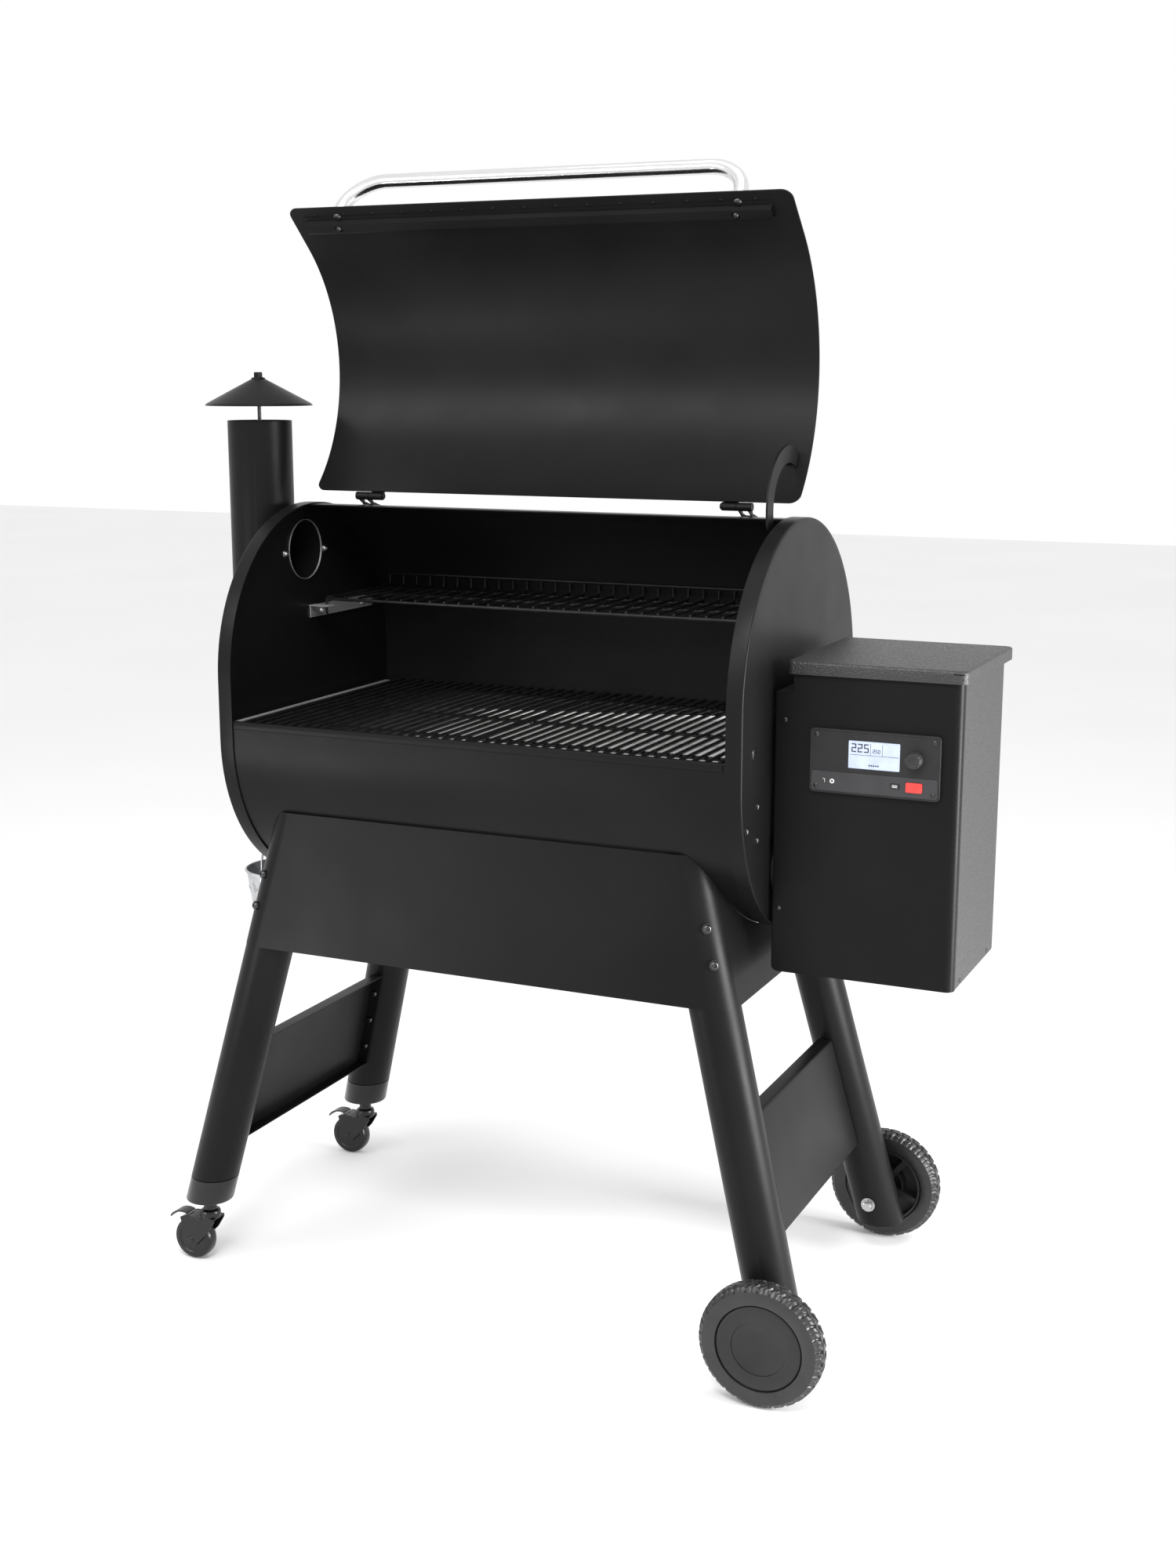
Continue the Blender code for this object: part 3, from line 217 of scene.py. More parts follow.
def glowing(name, dark, light, strength):
    """The backlit display: a pale ground, faintly uneven."""
    made = Shader(name, Roughness=0.12, Specular_IOR_Level=0.5)
    pale = made.ramp(made.noise(45.0, 2), 0.3, dark, 0.7, light)
    made.colour(pale)
    made.link(pale, made.shader.inputs["Emission Color"])
    made.shader.inputs["Emission Strength"].default_value = strength
    return made.material


def tray_with_painted_shade(name, painted_shade_edge_x):
    """Bare tray steel with painted shade: dark on the drain's side of the given x edge, with faint uneven streaks
    multiplied in.
    """
    made = Shader(name, Metallic=0.35)
    patches = made.noise(14.0, 6, 0.6)
    place = made.node("SeparateXYZ", {0: made.coordinates}, {}).outputs["X"]
    drifted = made.multiply_add(made.noise(7.0, 4, 0.6), 0.12, place)
    # The mask is 1 on the high-x side of the edge. It is 0 on the drain's side, which gets painted shade.
    outside_painted_shade = made.spread(drifted, 0.0, 1.0, painted_shade_edge_x + 0.03, painted_shade_edge_x + 0.09)
    # Painted shade: near-black (0.05) on the drain's side, with bare steel (0.80) elsewhere.
    painted_shade = made.ramp(outside_painted_shade, 0.0, (0.05, 0.048, 0.046), 1.0, (0.80, 0.80, 0.79))
    streaks = made.ramp(patches, 0.35, (0.45, 0.45, 0.45), 0.65, (1.0, 1.0, 1.0))
    mixed = made.node("MixRGB", {"Color1": painted_shade, "Color2": streaks}, {"Fac": 0.35})
    mixed.blend_type = "MULTIPLY"
    made.colour(mixed.outputs["Color"])
    made.rough(made.spread(patches, 0.52, 0.38))
    made.bump(made.noise(160.0, 3), 0.0002)
    return made.material


COAT = coated("powder_coat", (0.0056, 0.0056, 0.0058), (0.0078, 0.0078, 0.0081), 0.34, 1400.0, 0.00010)
HAMMERED = hammered("hammered_coat")
ENAMEL = enamelled("porcelain_enamel")
STAINLESS = polished("polished_handle_steel", (0.72, 0.72, 0.72), 0.17, 0)
PLAIN_STEEL = polished("plain_steel", (0.50, 0.50, 0.51), 0.33, 1)
BRIGHT_STEEL = polished("bright_steel", (0.78, 0.78, 0.78), 0.52, 1)
FASTENER = polished("blackened_screws", (0.07, 0.07, 0.072), 0.32, 2)
ZINC = polished("zinc_fasteners", (0.42, 0.42, 0.42), 0.25, 2)
GALVANISED = galvanised("galvanised_sheet")
# Painted shade darkens the tray, baffle and fire pot on the low-x side of X0 - 0.22.
TRAY_STEEL_WITH_PAINTED_SHADE = tray_with_painted_shade("tray_steel_painted_shade", X0 - 0.22)
PLASTIC = moulded("black_plastic", (0.010, 0.010, 0.0105), (0.014, 0.014, 0.0145), 0.44, gloss=0.35)
GLOSS_PLASTIC = moulded("glossy_plastic", (0.004, 0.004, 0.004), (0.006, 0.006, 0.006), 0.22, gloss=0.4)
PANEL_PLASTIC = moulded("panel_plastic", (0.014, 0.014, 0.015), (0.018, 0.018, 0.019), 0.42)
STRIP_PLASTIC = moulded("panel_strip", (0.034, 0.034, 0.036), (0.040, 0.040, 0.042), 0.45)
KNOB_PLASTIC = moulded("knob_plastic", (0.020, 0.020, 0.021), (0.026, 0.026, 0.027), 0.38)
RUBBER = rubber("tyre_rubber")
RED = moulded("red_button_plastic", (0.62, 0.045, 0.04), (0.72, 0.07, 0.06), 0.35)
DISPLAY = glowing("display_glass", (0.33, 0.38, 0.49), (0.42, 0.47, 0.60), 0.35)
DISPLAY_INK = moulded("display_ink", (0.02, 0.022, 0.03), (0.03, 0.033, 0.042), 0.5, gloss=0.1)
PALE_MARK = moulded("pale_marking", (0.55, 0.55, 0.55), (0.62, 0.62, 0.62), 0.5)


# ---------------------------------------------------------------- mesh helpers


def mesh_of(shape):
    mesh = bpy.data.meshes.new("shape")
    bmesh.ops.recalc_face_normals(shape, faces=shape.faces[:])
    shape.to_mesh(mesh)
    shape.free()
    return mesh


def merged(meshes):
    """One mesh from several."""
    shape = bmesh.new()
    for mesh in meshes:
        shape.from_mesh(mesh)
        bpy.data.meshes.remove(mesh)
    mesh = bpy.data.meshes.new("shape")
    shape.to_mesh(mesh)
    shape.free()
    return mesh


def piece(name, mesh, finish, body, stands_for=None, place=SHIFT, bevel=0.0, steps=2, sharp=35):
    """A finished piece that rides on a body. Its mesh is drawn about the barrel's middle and moved by place."""
    mesh.transform(place)
    mesh.materials.clear()
    mesh.materials.append(finish)
    mesh.shade_smooth()
    mesh.set_sharp_from_angle(angle=math.radians(sharp))
    made = bpy.data.objects.new(name, mesh)
    SCENE.collection.objects.link(made)
    if bevel:
        modifier = made.modifiers.new("edges", "BEVEL")
        modifier.width = bevel
        modifier.segments = steps
        modifier.limit_method = "ANGLE"
        modifier.angle_limit = math.radians(30)
        modifier.use_clamp_overlap = True
    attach(made, body)
    if stands_for:
        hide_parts(stands_for)


def scratch(mesh):
    made = bpy.data.objects.new("scratch", mesh)
    SCENE.collection.objects.link(made)
    return made


def evaluated(made):
    """The object's mesh with its modifiers applied. The object is removed."""
    graph = bpy.context.evaluated_depsgraph_get()
    mesh = bpy.data.meshes.new_from_object(made.evaluated_get(graph))
    bpy.data.objects.remove(made)
    return mesh


def solid(mesh, thickness, offset=-1.0):
    made = scratch(mesh)
    modifier = made.modifiers.new("thickness", "SOLIDIFY")
    modifier.thickness = thickness
    modifier.offset = offset
    modifier.use_even_offset = True
    return evaluated(made)


def carved(mesh, *tools, operation="DIFFERENCE"):
    made = scratch(mesh)
    others = [scratch(tool) for tool in tools]
    for other in others:
        modifier = made.modifiers.new("boolean", "BOOLEAN")
        modifier.operation = operation
        modifier.object = other
    mesh = evaluated(made)
    for other in others:
        bpy.data.objects.remove(other)
    return mesh


def box(first, second):
    """A box between two opposite corners."""
    low, high = (tuple(map(pick, first, second)) for pick in (min, max))
    shape = bmesh.new()
    bmesh.ops.create_cube(shape, size=1)
    bmesh.ops.transform(
        shape, matrix=Matrix.Diagonal([b - a for a, b in zip(low, high)] + [1]), verts=shape.verts[:],
    )
    bmesh.ops.translate(shape, vec=[(a + b) / 2 for a, b in zip(low, high)], verts=shape.verts[:])
    return mesh_of(shape)


def rod(start, end, radius, end_radius=None, sides=32):
    start, end = Vector(start), Vector(end)
    along = end - start
    shape = bmesh.new()
    bmesh.ops.create_cone(
        shape,
        cap_ends=True,
        segments=sides,
        radius1=radius,
        radius2=radius if end_radius is None else end_radius,
        depth=along.length,
        matrix=Matrix.Translation((start + end) / 2) @ along.to_track_quat("Z", "Y").to_matrix().to_4x4(),
    )
    return mesh_of(shape)


def grid(rows, wrap_rows=False, wrap_columns=False, floor=False, cap=False):
    """A mesh through rows of points. floor closes the first row, and cap closes the last one too."""
    shape = bmesh.new()
    verts = [[shape.verts.new(point) for point in row] for row in rows]
    count = len(verts[0])
    pairs = list(zip(verts, verts[1:]))
    if wrap_rows:
        pairs.append((verts[-1], verts[0]))
    for low, high in pairs:
        for i in range(count if wrap_columns else count - 1):
            shape.faces.new((low[i], low[(i + 1) % count], high[(i + 1) % count], high[i]))
    if floor or cap:
        shape.faces.new(verts[0])
    if cap:
        shape.faces.new(verts[-1])
    return mesh_of(shape)


def tube(points, radius, sides=16):
    """A round bar along points, with its frame carried along so that it doesn't twist."""
    points = [Vector(point) for point in points]
    rows = []
    side = None
    for i, point in enumerate(points):
        ahead = points[min(i + 1, len(points) - 1)] - points[max(i - 1, 0)]
        ahead.normalize()
        if side is None:
            side = ahead.orthogonal().normalized()
        side = (side - ahead * side.dot(ahead)).normalized()
        other = ahead.cross(side)
        ring = [2 * math.pi * j / sides for j in range(sides)]
        rows.append([point + radius * (math.cos(a) * side + math.sin(a) * other) for a in ring])
    return grid(rows, wrap_columns=True, cap=True)


def lathe(profile, centre, axis, steps=64, closed=True):
    """Turns (radius, height) points about axis. closed joins the last point back to the first."""
    turn = Vector(axis).to_track_quat("Z", "Y").to_matrix().to_4x4()
    place = Matrix.Translation(centre) @ turn
    shape = bmesh.new()
    rows = []
    for radius, height in profile:
        if radius < 1e-7:
            rows.append([shape.verts.new(place @ Vector((0, 0, height)))] * steps)
            continue
        angles = [2 * math.pi * i / steps for i in range(steps)]
        rows.append(
            [
                shape.verts.new(place @ Vector((radius * math.cos(a), radius * math.sin(a), height)))
                for a in angles
            ]
        )
    pairs = list(zip(rows, rows[1:]))
    if closed and profile[0][0] > 1e-7:
        pairs.append((rows[-1], rows[0]))
    for low, high in pairs:
        for i in range(steps):
            corners = [low[i], low[(i + 1) % steps], high[(i + 1) % steps], high[i]]
            unique = list(dict.fromkeys(corners))
            if len(unique) > 2:
                shape.faces.new(unique)
    return mesh_of(shape)


def plate(outlines, thickness, plane, offset):
    """A flat plate: the first outline is its edge and the others are holes."""
    curve = bpy.data.curves.new("outline", "CURVE")
    curve.dimensions = "2D"
    curve.fill_mode = "BOTH"
    curve.extrude = thickness / 2
    for outline in outlines:
        spline = curve.splines.new("POLY")
        spline.points.add(len(outline) - 1)
        for point, place in zip(spline.points, outline):
            point.co = (*place, 0, 1)
        spline.use_cyclic_u = True
    mesh = evaluated(scratch(curve))
    shape = bmesh.new()
    shape.from_mesh(mesh)
    bmesh.ops.remove_doubles(shape, verts=shape.verts[:], dist=1e-6)
    mesh = mesh_of(shape)
    mesh.transform(plane @ Matrix.Translation((0, 0, offset)))
    return mesh


def arc(centre, radius, start, end, count):
    angles = [math.radians(start + (end - start) * i / (count - 1)) for i in range(count)]
    return [(centre[0] + radius * math.cos(a), centre[1] + radius * math.sin(a)) for a in angles]


def rounded(low, high, radius, count=7):
    (x0, y0), (x1, y1) = low, high
    corners = (
        (x1 - radius, y1 - radius), (x0 + radius, y1 - radius), (x0 + radius, y0 + radius),
        (x1 - radius, y0 + radius),
    )
    points = []
    for i, corner in enumerate(corners):
        points += arc(corner, radius, 90 * i, 90 * i + 90, count)
    return points


def stadium(radius, count=61):
    """The barrel's section as (y, z) points."""
    return arc((0, UPPER_Z), radius, 0, 180, count) + arc((0, LOWER_Z), radius, 180, 360, count)


def along_x(profile, start, end, parts=1):
    """A sheet: a (y, z) profile drawn out along X."""
    places = [start + (end - start) * i / parts for i in range(parts + 1)]
    return grid([[(x, y, z) for y, z in profile] for x in places])


def screw_head(place, normal, radius, height, hexagon=True):
    """A button-head screw with a hexagon socket."""
    normal = Vector(normal).normalized()
    profile = [(0, -0.002), (radius, -0.002), (radius, height * 0.25), (radius * 0.93, height * 0.6)]
    profile += [(radius * 0.75, height * 0.87), (radius * 0.52, height), (radius * 0.48, height)]
    profile += [(radius * 0.46, height * 0.45), (0, height * 0.45)]
    if not hexagon:
        profile = profile[:5] + [(radius * 0.4, height * 0.98), (0, height)]
    return lathe(profile, place, normal, 24, closed=False)


def washer(place, normal, inner, outer, height):
    profile = [(inner, 0), (inner, height), (outer * 0.97, height), (outer, height * 0.7), (outer, 0)]
    return lathe(profile, place, Vector(normal), 32)


# ---------------------------------------------------------------- camera, light and floor

camera_data = bpy.data.cameras.new("camera")
camera_data.lens = 45.05
camera_data.sensor_width = 36.0
camera = bpy.data.objects.new("camera", camera_data)
camera.location = (1.2861 + X0, -2.6479, 1.3911)
camera.rotation_euler = (math.radians(90 - 11.858), 0, math.radians(24.516))
SCENE.collection.objects.link(camera)
SCENE.camera = camera

world = bpy.data.worlds.new("studio")
world.use_nodes = True
world.node_tree.nodes["Background"].inputs["Color"].default_value = (1, 1, 1, 1)
world.node_tree.nodes["Background"].inputs["Strength"].default_value = 1.0
SCENE.world = world
SCENE.view_settings.view_transform = "Standard"


def softbox(name, place, target, width, height, power, spread=180):
    data = bpy.data.lights.new(name, "AREA")
    data.shape = "RECTANGLE"
    data.size = width
    data.size_y = height
    data.energy = power
    data.spread = math.radians(spread)
    made = bpy.data.objects.new(name, data)
    made.location = place
    made.rotation_euler = (Vector(target) - Vector(place)).to_track_quat("-Z", "Y").to_euler()
    SCENE.collection.objects.link(made)


softbox("low_left", (-1.50, -1.95, 0.22), (-0.3, -0.25, 0.55), 0.35, 0.55, 2.2, 80)
softbox("right", (2.95, 0.1, 0.75), (0.5, -0.1, 0.7), 1.1, 1.5, 105, 140)
softbox("lid_bar", (-1.35, -2.35, 2.45), (0, 0.05, 1.35), 2.0, 0.5, 10, 90)
softbox("front_high", (0.5, -2.1, 2.95), (0, 0, 0.85), 1.2, 0.8, 28, 120)
softbox("top", (0.2, -0.2, 3.4), (0, 0, 0.9), 2.0, 1.4, 10)

floor_shape = bmesh.new()
bmesh.ops.create_grid(floor_shape, x_segments=1, y_segments=1, size=14)
floor = bpy.data.objects.new("floor", mesh_of(floor_shape))
floor_shader = Shader("pale_floor", Roughness=0.9, Specular_IOR_Level=0.1)
floor_shader.colour(
    floor_shader.ramp(floor_shader.noise(0.8, 2), 0.3, (0.86, 0.86, 0.86), 0.7, (0.88, 0.88, 0.88))
)
floor.data.materials.append(floor_shader.material)
floor.location.z = -0.0006
SCENE.collection.objects.link(floor)


# ---------------------------------------------------------------- barrel

SHEET = 0.0018
LIP_BAND = 0.0115
EDGE_Y = -0.012
PORT = Vector((-HALF, 0, 1.117))
PORT_R = 0.047
DRAIN = Vector((-HALF, 0.035, 0.655))


def make_barrel():
    top_angle = 90 - math.degrees(math.asin(EDGE_Y / SHELL_R))
    profile = arc((0, UPPER_Z), SHELL_R, top_angle, 0, 34) + arc((0, LOWER_Z), SHELL_R, 0, -180, 67)
    lip_top = 0.8812
    hem = arc((-SHELL_R + 0.0016, lip_top - 0.0016), 0.0016, 180, 90, 4)
    profile += [(-SHELL_R, lip_top - 0.012)] + hem + [
        (-SHELL_R + 0.0065, lip_top), (-SHELL_R + 0.0070, lip_top - 0.0100),
    ]
    half = HALF - 0.0030
    shell = along_x(profile, -half, half, 2)
    piece(
        "barrel_skin", solid(shell, SHEET, facing(shell)), COAT, "cart", "barrel_shell",
    )
    band = rounded((-SHELL_R - 0.0014, lip_top - LIP_BAND), (-SHELL_R + 0.0010, lip_top - 0.0010), 0.0006, 3)
    band_mesh = plate([band], 2 * (HALF - RIM_DEPTH) - 0.004, YZ_PLANE, -0.001)
    piece("lip_band", band_mesh, COAT, "cart")
    low, high = local_box("cooking_grate_left")
    ledges = []
    for side in (-1, 1):
        outer = SHELL_R - 0.0012
        angle = [
            (side * outer, low.z - 0.016), (side * outer, low.z - 0.0006),
            (side * (outer - 0.020), low.z - 0.0006),
        ]
        ledges.append(solid(along_x(angle, -half + 0.02, half - 0.02), 0.0016, 0.0))
    piece("grate_ledges", merged(ledges), COAT, "cart")


def facing(mesh):
    """Solidify's offset that thickens a barrel sheet inwards."""
    face = max(mesh.polygons, key=lambda item: item.area)
    outward = Vector((0, face.center.y, face.center.z - MID_Z)).dot(face.normal) > 0
    return -1.0 if outward else 1.0


def end_panel(name, side, node, holes):
    corner = 0.0030
    rows = []
    for radius, depth in ((0.05, 0), (RIM_R - 0.010, 0)):
        rows.append([(side * (HALF - depth), y, z) for y, z in stadium(radius)])
    for i in range(5):
        turn = math.radians(90 * i / 4)
        radius = RIM_R - corner + corner * math.sin(turn)
        depth = corner - corner * math.cos(turn)
        rows.append([(side * (HALF - depth), y, z) for y, z in stadium(radius)])
    rows.append([(side * (HALF - RIM_DEPTH + 0.0012), y, z) for y, z in stadium(RIM_R)])
    mesh = solid(grid(rows, wrap_columns=True, floor=True), SHEET)
    tools = [
        rod((side * (HALF - 0.03), y, z), (side * (HALF + 0.03), y, z), r, sides=64)
        for y, z, r in holes
    ]
    piece(name, carved(mesh, *tools), COAT, "cart", node, sharp=28)


def make_end_panels():
    end_panel("left_end_pressing", -1, "left_end_panel", [(0, PORT.z, PORT_R), (DRAIN.y, DRAIN.z, 0.0136)])
    fan = local_point("fan_turn")
    screw = local_point("feed_screw_turn")
    end_panel("right_end_pressing", 1, "right_end_panel", [(0, screw.z, 0.0256), (fan.y, fan.z, 0.0416)])
    places = ((-0.2215, 0.786), (-0.180, 0.765), (-0.180, 0.812), (0.2215, 0.786), (0.180, 0.765))
    screws = [screw_head((HALF, y, z), (1, 0, 0), 0.0048, 0.0024) for y, z in places]
    piece("end_panel_screws", merged(screws), FASTENER, "cart")
    grommet = [
        (0.0045, -0.004), (0.0045, 0.0016), (0.0070, 0.0020), (0.0088, 0.0012), (0.0090, 0), (0.0070, -0.004),
    ]
    place = (HALF, -0.199, 0.8876)
    plug = [(0, -0.002), (0.0046, -0.002), (0.0046, 0.0002), (0, 0.0008)]
    parts = [lathe(grommet, place, (1, 0, 0), 32), lathe(plug, place, (1, 0, 0), 24, False)]
    piece("probe_grommet", merged(parts), FASTENER, "cart")


make_barrel()
make_end_panels()


# ---------------------------------------------------------------- lid

LID_R = RIM_R + 0.0025
LID_HALF = (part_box("lid_shell")[1].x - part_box("lid_shell")[0].x) / 2
LID_START = 85.6
LID_LOW_Z = 0.862
CORNER = 0.016


def lid_line():
    """Points down the shut lid's outer side as (y, z), from its hinge edge."""
    points = arc((0, UPPER_Z), LID_R, LID_START, 180, 64)
    points += [(-LID_R, UPPER_Z - (UPPER_Z - LID_LOW_Z) * i / 8) for i in range(1, 9)]
    return points


def along_line(points, place):
    """The point at a distance along a line of points."""
    left = place
    for (y0, z0), (y1, z1) in zip(points, points[1:]):
        length = math.hypot(y1 - y0, z1 - z0)
        if left <= length:
            t = left / length
            return y0 + (y1 - y0) * t, z0 + (z1 - z0) * t
        left -= length
    return points[-1]


def make_lid_shell():
    line = lid_line()
    total = sum(math.dist(a, b) for a, b in zip(line, line[1:]))
    near = [CORNER * (1 - math.cos(math.radians(10 * i))) for i in range(10)]
    places = near + [
        CORNER + (total - 2 * CORNER) * i / 70
        for i in range(1, 70)
    ] + [total - d for d in reversed(near)]
    rows = []
    for place in places:
        edge = min(place, total - place)
        inset = 0.0
        if edge < CORNER:
            inset = CORNER - math.sqrt(max(0.0, CORNER**2 - (CORNER - edge) ** 2))
        half = LID_HALF - inset
        y, z = along_line(line, place)
        rows.append([(-half + 2 * half * i / 8, y, z) for i in range(9)])
    mesh = grid(rows)
    mesh = solid(mesh, 0.002, facing(mesh))
    piece("lid_skin", mesh, COAT, "lid", "lid_shell", LID_PLACE, bevel=0.0005)


def make_lid_channel():
    """The folded stiffener inside the lid's free edge, its rivets and its two rubber stops."""
    face_y = -LID_R + 0.002
    low, high = LID_LOW_Z + 0.0245, LID_LOW_Z + 0.0445
    profile = [(face_y + 0.0006, low - 0.008), (face_y + 0.0006, low), (face_y + 0.0075, low + 0.002)]
    profile += [(face_y + 0.0082, high - 0.003), (face_y + 0.0075, high - 0.001), (face_y + 0.0006, high)]
    x0, x1 = -0.377, 0.366
    strip = solid(along_x(profile, x0, x1), 0.0011, 0.0)
    slots = [
        plate(
            [rounded((x - 0.0055, low + 0.006), (x + 0.0055, high - 0.005), 0.0035)], 0.03, XZ_PLANE,
            -face_y - 0.008,
        )
        for x in (-0.320, 0.313)
    ]
    piece("lid_stiffener", carved(strip, *slots), COAT, "lid", "lid_channel", LID_PLACE)
    rivets = []
    for i in range(15):
        x = x0 + 0.022 + (x1 - x0 - 0.044) * i / 14
        rivets.append(screw_head((x, face_y + 0.0004, low - 0.0115), (0, 1, 0), 0.0024, 0.0011, False))
    piece("lid_rivets", merged(rivets), COAT, "lid", place=LID_PLACE)
    stops = [
        lathe(
            [(0, 0.001), (0.0042, 0.001), (0.0042, 0.0085), (0.003, 0.0105), (0, 0.0108)],
            (x, face_y, (low + high) / 2), (0, 1, 0), 24, False,
        )
        for x in (-0.320, 0.313)
    ]
    piece("lid_stops", merged(stops), RUBBER, "lid", place=LID_PLACE)


def make_handle():
    low, high = local_box("lid_handle")
    radius = 0.0106
    half = (high.x - low.x) / 2 - 0.011
    bend, standoff, height = 0.060, 0.070, 0.880
    face_y = -LID_R
    bar_y = face_y - standoff
    right = [
        (half, face_y + 0.001), (half, bar_y + bend + 0.001),
    ] + arc((half - bend, bar_y + bend), bend, 0, -90, 22)
    left = [(-x, y) for x, y in reversed(right)]
    points = [(x, y, height) for x, y in right + left]
    piece(
        "lid_handle_tube", tube(points, radius, 32), STAINLESS, "lid", "lid_handle",
        LID_PLACE,
    )
    feet = []
    for x in (-half, half):
        profile = [
            (radius - 0.001, 0.0001), (radius + 0.0050, 0.0001), (radius + 0.0048, 0.0018),
            (radius + 0.0014, 0.0034), (radius - 0.001, 0.0036),
        ]
        feet.append(lathe(profile, (x, face_y, height), (0, -1, 0), 40))
        feet.append(screw_head((x, face_y + 0.002, height), (0, 1, 0), 0.0062, 0.0030))
    piece("lid_handle_feet", merged(feet), FASTENER, "lid", place=LID_PLACE)


def make_stay():
    low, high = local_box("lid_stay")
    middle, width, radius = (low.x + high.x) / 2, 0.024, 0.076
    tip = math.degrees(LID_OPEN) + 199
    root = 193.6
    outline = arc((HINGE_Y, HINGE_Z), radius + width / 2, root, tip - 8, 60)
    end = (
        HINGE_Y + radius * math.cos(math.radians(tip - 8)),
        HINGE_Z + radius * math.sin(math.radians(tip - 8)),
    )
    outline += arc(end, width / 2, tip - 8, tip + 172, 14)[1:-1]
    outline += arc((HINGE_Y, HINGE_Z), radius - width / 2, tip - 8, root, 60)
    mesh = plate([outline], 0.0030, YZ_PLANE, middle)
    piece("lid_stay_arm", mesh, COAT, "lid", "lid_stay", LID_PLACE, bevel=0.0006)
    face_z = HINGE_Z - 0.020
    foot = box(
        (middle - 0.016, HINGE_Y - 0.086, face_z - 0.003),
        (middle + 0.0015, HINGE_Y - 0.066, face_z - 0.0015),
    )
    foot.transform(
        Matrix.Translation((0, HINGE_Y - 0.076, face_z)) @ Matrix.Rotation(math.radians(15), 4, "X") @ Matrix.Translation((0, 0.076 - HINGE_Y, -face_z))
    )
    head = screw_head((middle - 0.009, HINGE_Y - 0.0755, face_z - 0.0025), (0, 0.26, -0.97), 0.004, 0.002)
    piece("lid_stay_foot", merged([foot, head]), COAT, "lid", place=LID_PLACE)


def make_hinges():
    for name in ("left", "right"):
        out = -1 if name == "left" else 1
        knuckle = 0.0062
        lug_x = (out * 0.3050, out * 0.3276)
        base = [rod((lug_x[0], HINGE_Y, HINGE_Z), (lug_x[1], HINGE_Y, HINGE_Z), knuckle, sides=40)]
        outline = [
            (HINGE_Y + 0.002, HINGE_Z + 0.006), (0.034, UPPER_Z + SHELL_R + 0.0028),
            (0.060, UPPER_Z + SHELL_R - 0.0045),
        ]
        outline += [
            (0.060, UPPER_Z + SHELL_R - 0.0072), (0.032, UPPER_Z + SHELL_R - 0.001),
            (HINGE_Y - 0.002, HINGE_Z - 0.006),
        ]
        for x in (out * 0.3075, out * 0.3225):
            base.append(plate([outline], 0.0025, YZ_PLANE, x))
        base.append(along_box_foot(out * 0.3062, out * 0.3238))
        pin_end = out * 0.2800
        base.append(rod((lug_x[0], HINGE_Y, HINGE_Z), (pin_end, HINGE_Y, HINGE_Z), 0.0029, sides=24))
        base.append(
            lathe(
                [(0, 0.0016), (0.0040, 0.0012), (0.0048, 0.0002), (0.0048, -0.0004), (0, -0.0004)],
                (pin_end, HINGE_Y, HINGE_Z), (-out, 0, 0), 24, False,
            )
        )
        piece(
            f"hinge_lug_{name}", merged(base), COAT, "cart", f"hinge_base_{name}",
            bevel=0.0004,
        )
        span = sorted((out * 0.3045, out * 0.2812))
        leaf = [
            lathe(
                [(0.0031, span[0]), (knuckle, span[0]), (knuckle, span[1]), (0.0031, span[1])],
                (0, HINGE_Y, HINGE_Z), (1, 0, 0), 40,
            )
        ]
        top = UPPER_Z + LID_R
        strap = [
            (HINGE_Y - 0.0035, HINGE_Z + 0.0050), (HINGE_Y - 0.0060, HINGE_Z + 0.0015), (0.006, top + 0.0028),
            (-0.030, top + 0.0010),
        ]
        leaf.append(solid(along_x(strap, span[0], span[1]), 0.0022, 0.0))
        for x in (span[0] + 0.006, span[1] - 0.006):
            leaf.append(screw_head((x, -0.018, top + 0.0020), (0, -0.07, 1), 0.0034, 0.0018, False))
        piece(
            f"hinge_strap_{name}", merged(leaf), COAT, "lid", f"hinge_leaf_{name}",
            LID_PLACE, bevel=0.0004,
        )


def along_box_foot(x0, x1):
    """The hinge's foot, which lies on the barrel."""
    x0, x1 = sorted((x0, x1))
    top = [
        (0.030 + 0.004 * i, UPPER_Z + math.sqrt(SHELL_R**2 - (0.030 + 0.004 * i) ** 2) + 0.0014)
        for i in range(8)
    ]
    return solid(along_x(top, x0, x1), 0.0018, 0.0)


make_lid_shell()
make_lid_channel()
make_handle()
make_stay()
make_hinges()


# ---------------------------------------------------------------- inside the barrel

ROD_R = 0.0027
ROD_PITCH = 0.0187


def make_grates():
    for name in ("left", "right"):
        low, high = local_box(f"cooking_grate_{name}")
        z = high.z - ROD_R
        rods = []
        count = round((high.x - low.x - 2 * ROD_R) / ROD_PITCH)
        for i in range(count + 1):
            x = low.x + ROD_R + (high.x - low.x - 2 * ROD_R) * i / count
            rods.append(rod((x, low.y + 0.001, z), (x, high.y - 0.001, z), ROD_R, sides=10))
        for y in (low.y + 0.004, low.y + 0.050, -0.029, high.y - 0.060, high.y - 0.004):
            rods.append(
                rod((low.x, y, z - 2 * ROD_R + 0.0006), (high.x, y, z - 2 * ROD_R + 0.0006), 0.0028, sides=10)
            )
        piece(
            f"grate_rods_{name}", merged(rods), ENAMEL, f"grate_{name}",
            f"cooking_grate_{name}",
        )


RACK_ROD_R = 0.0019
RACK_PITCH = 0.025
RAIL_HALF = 0.390


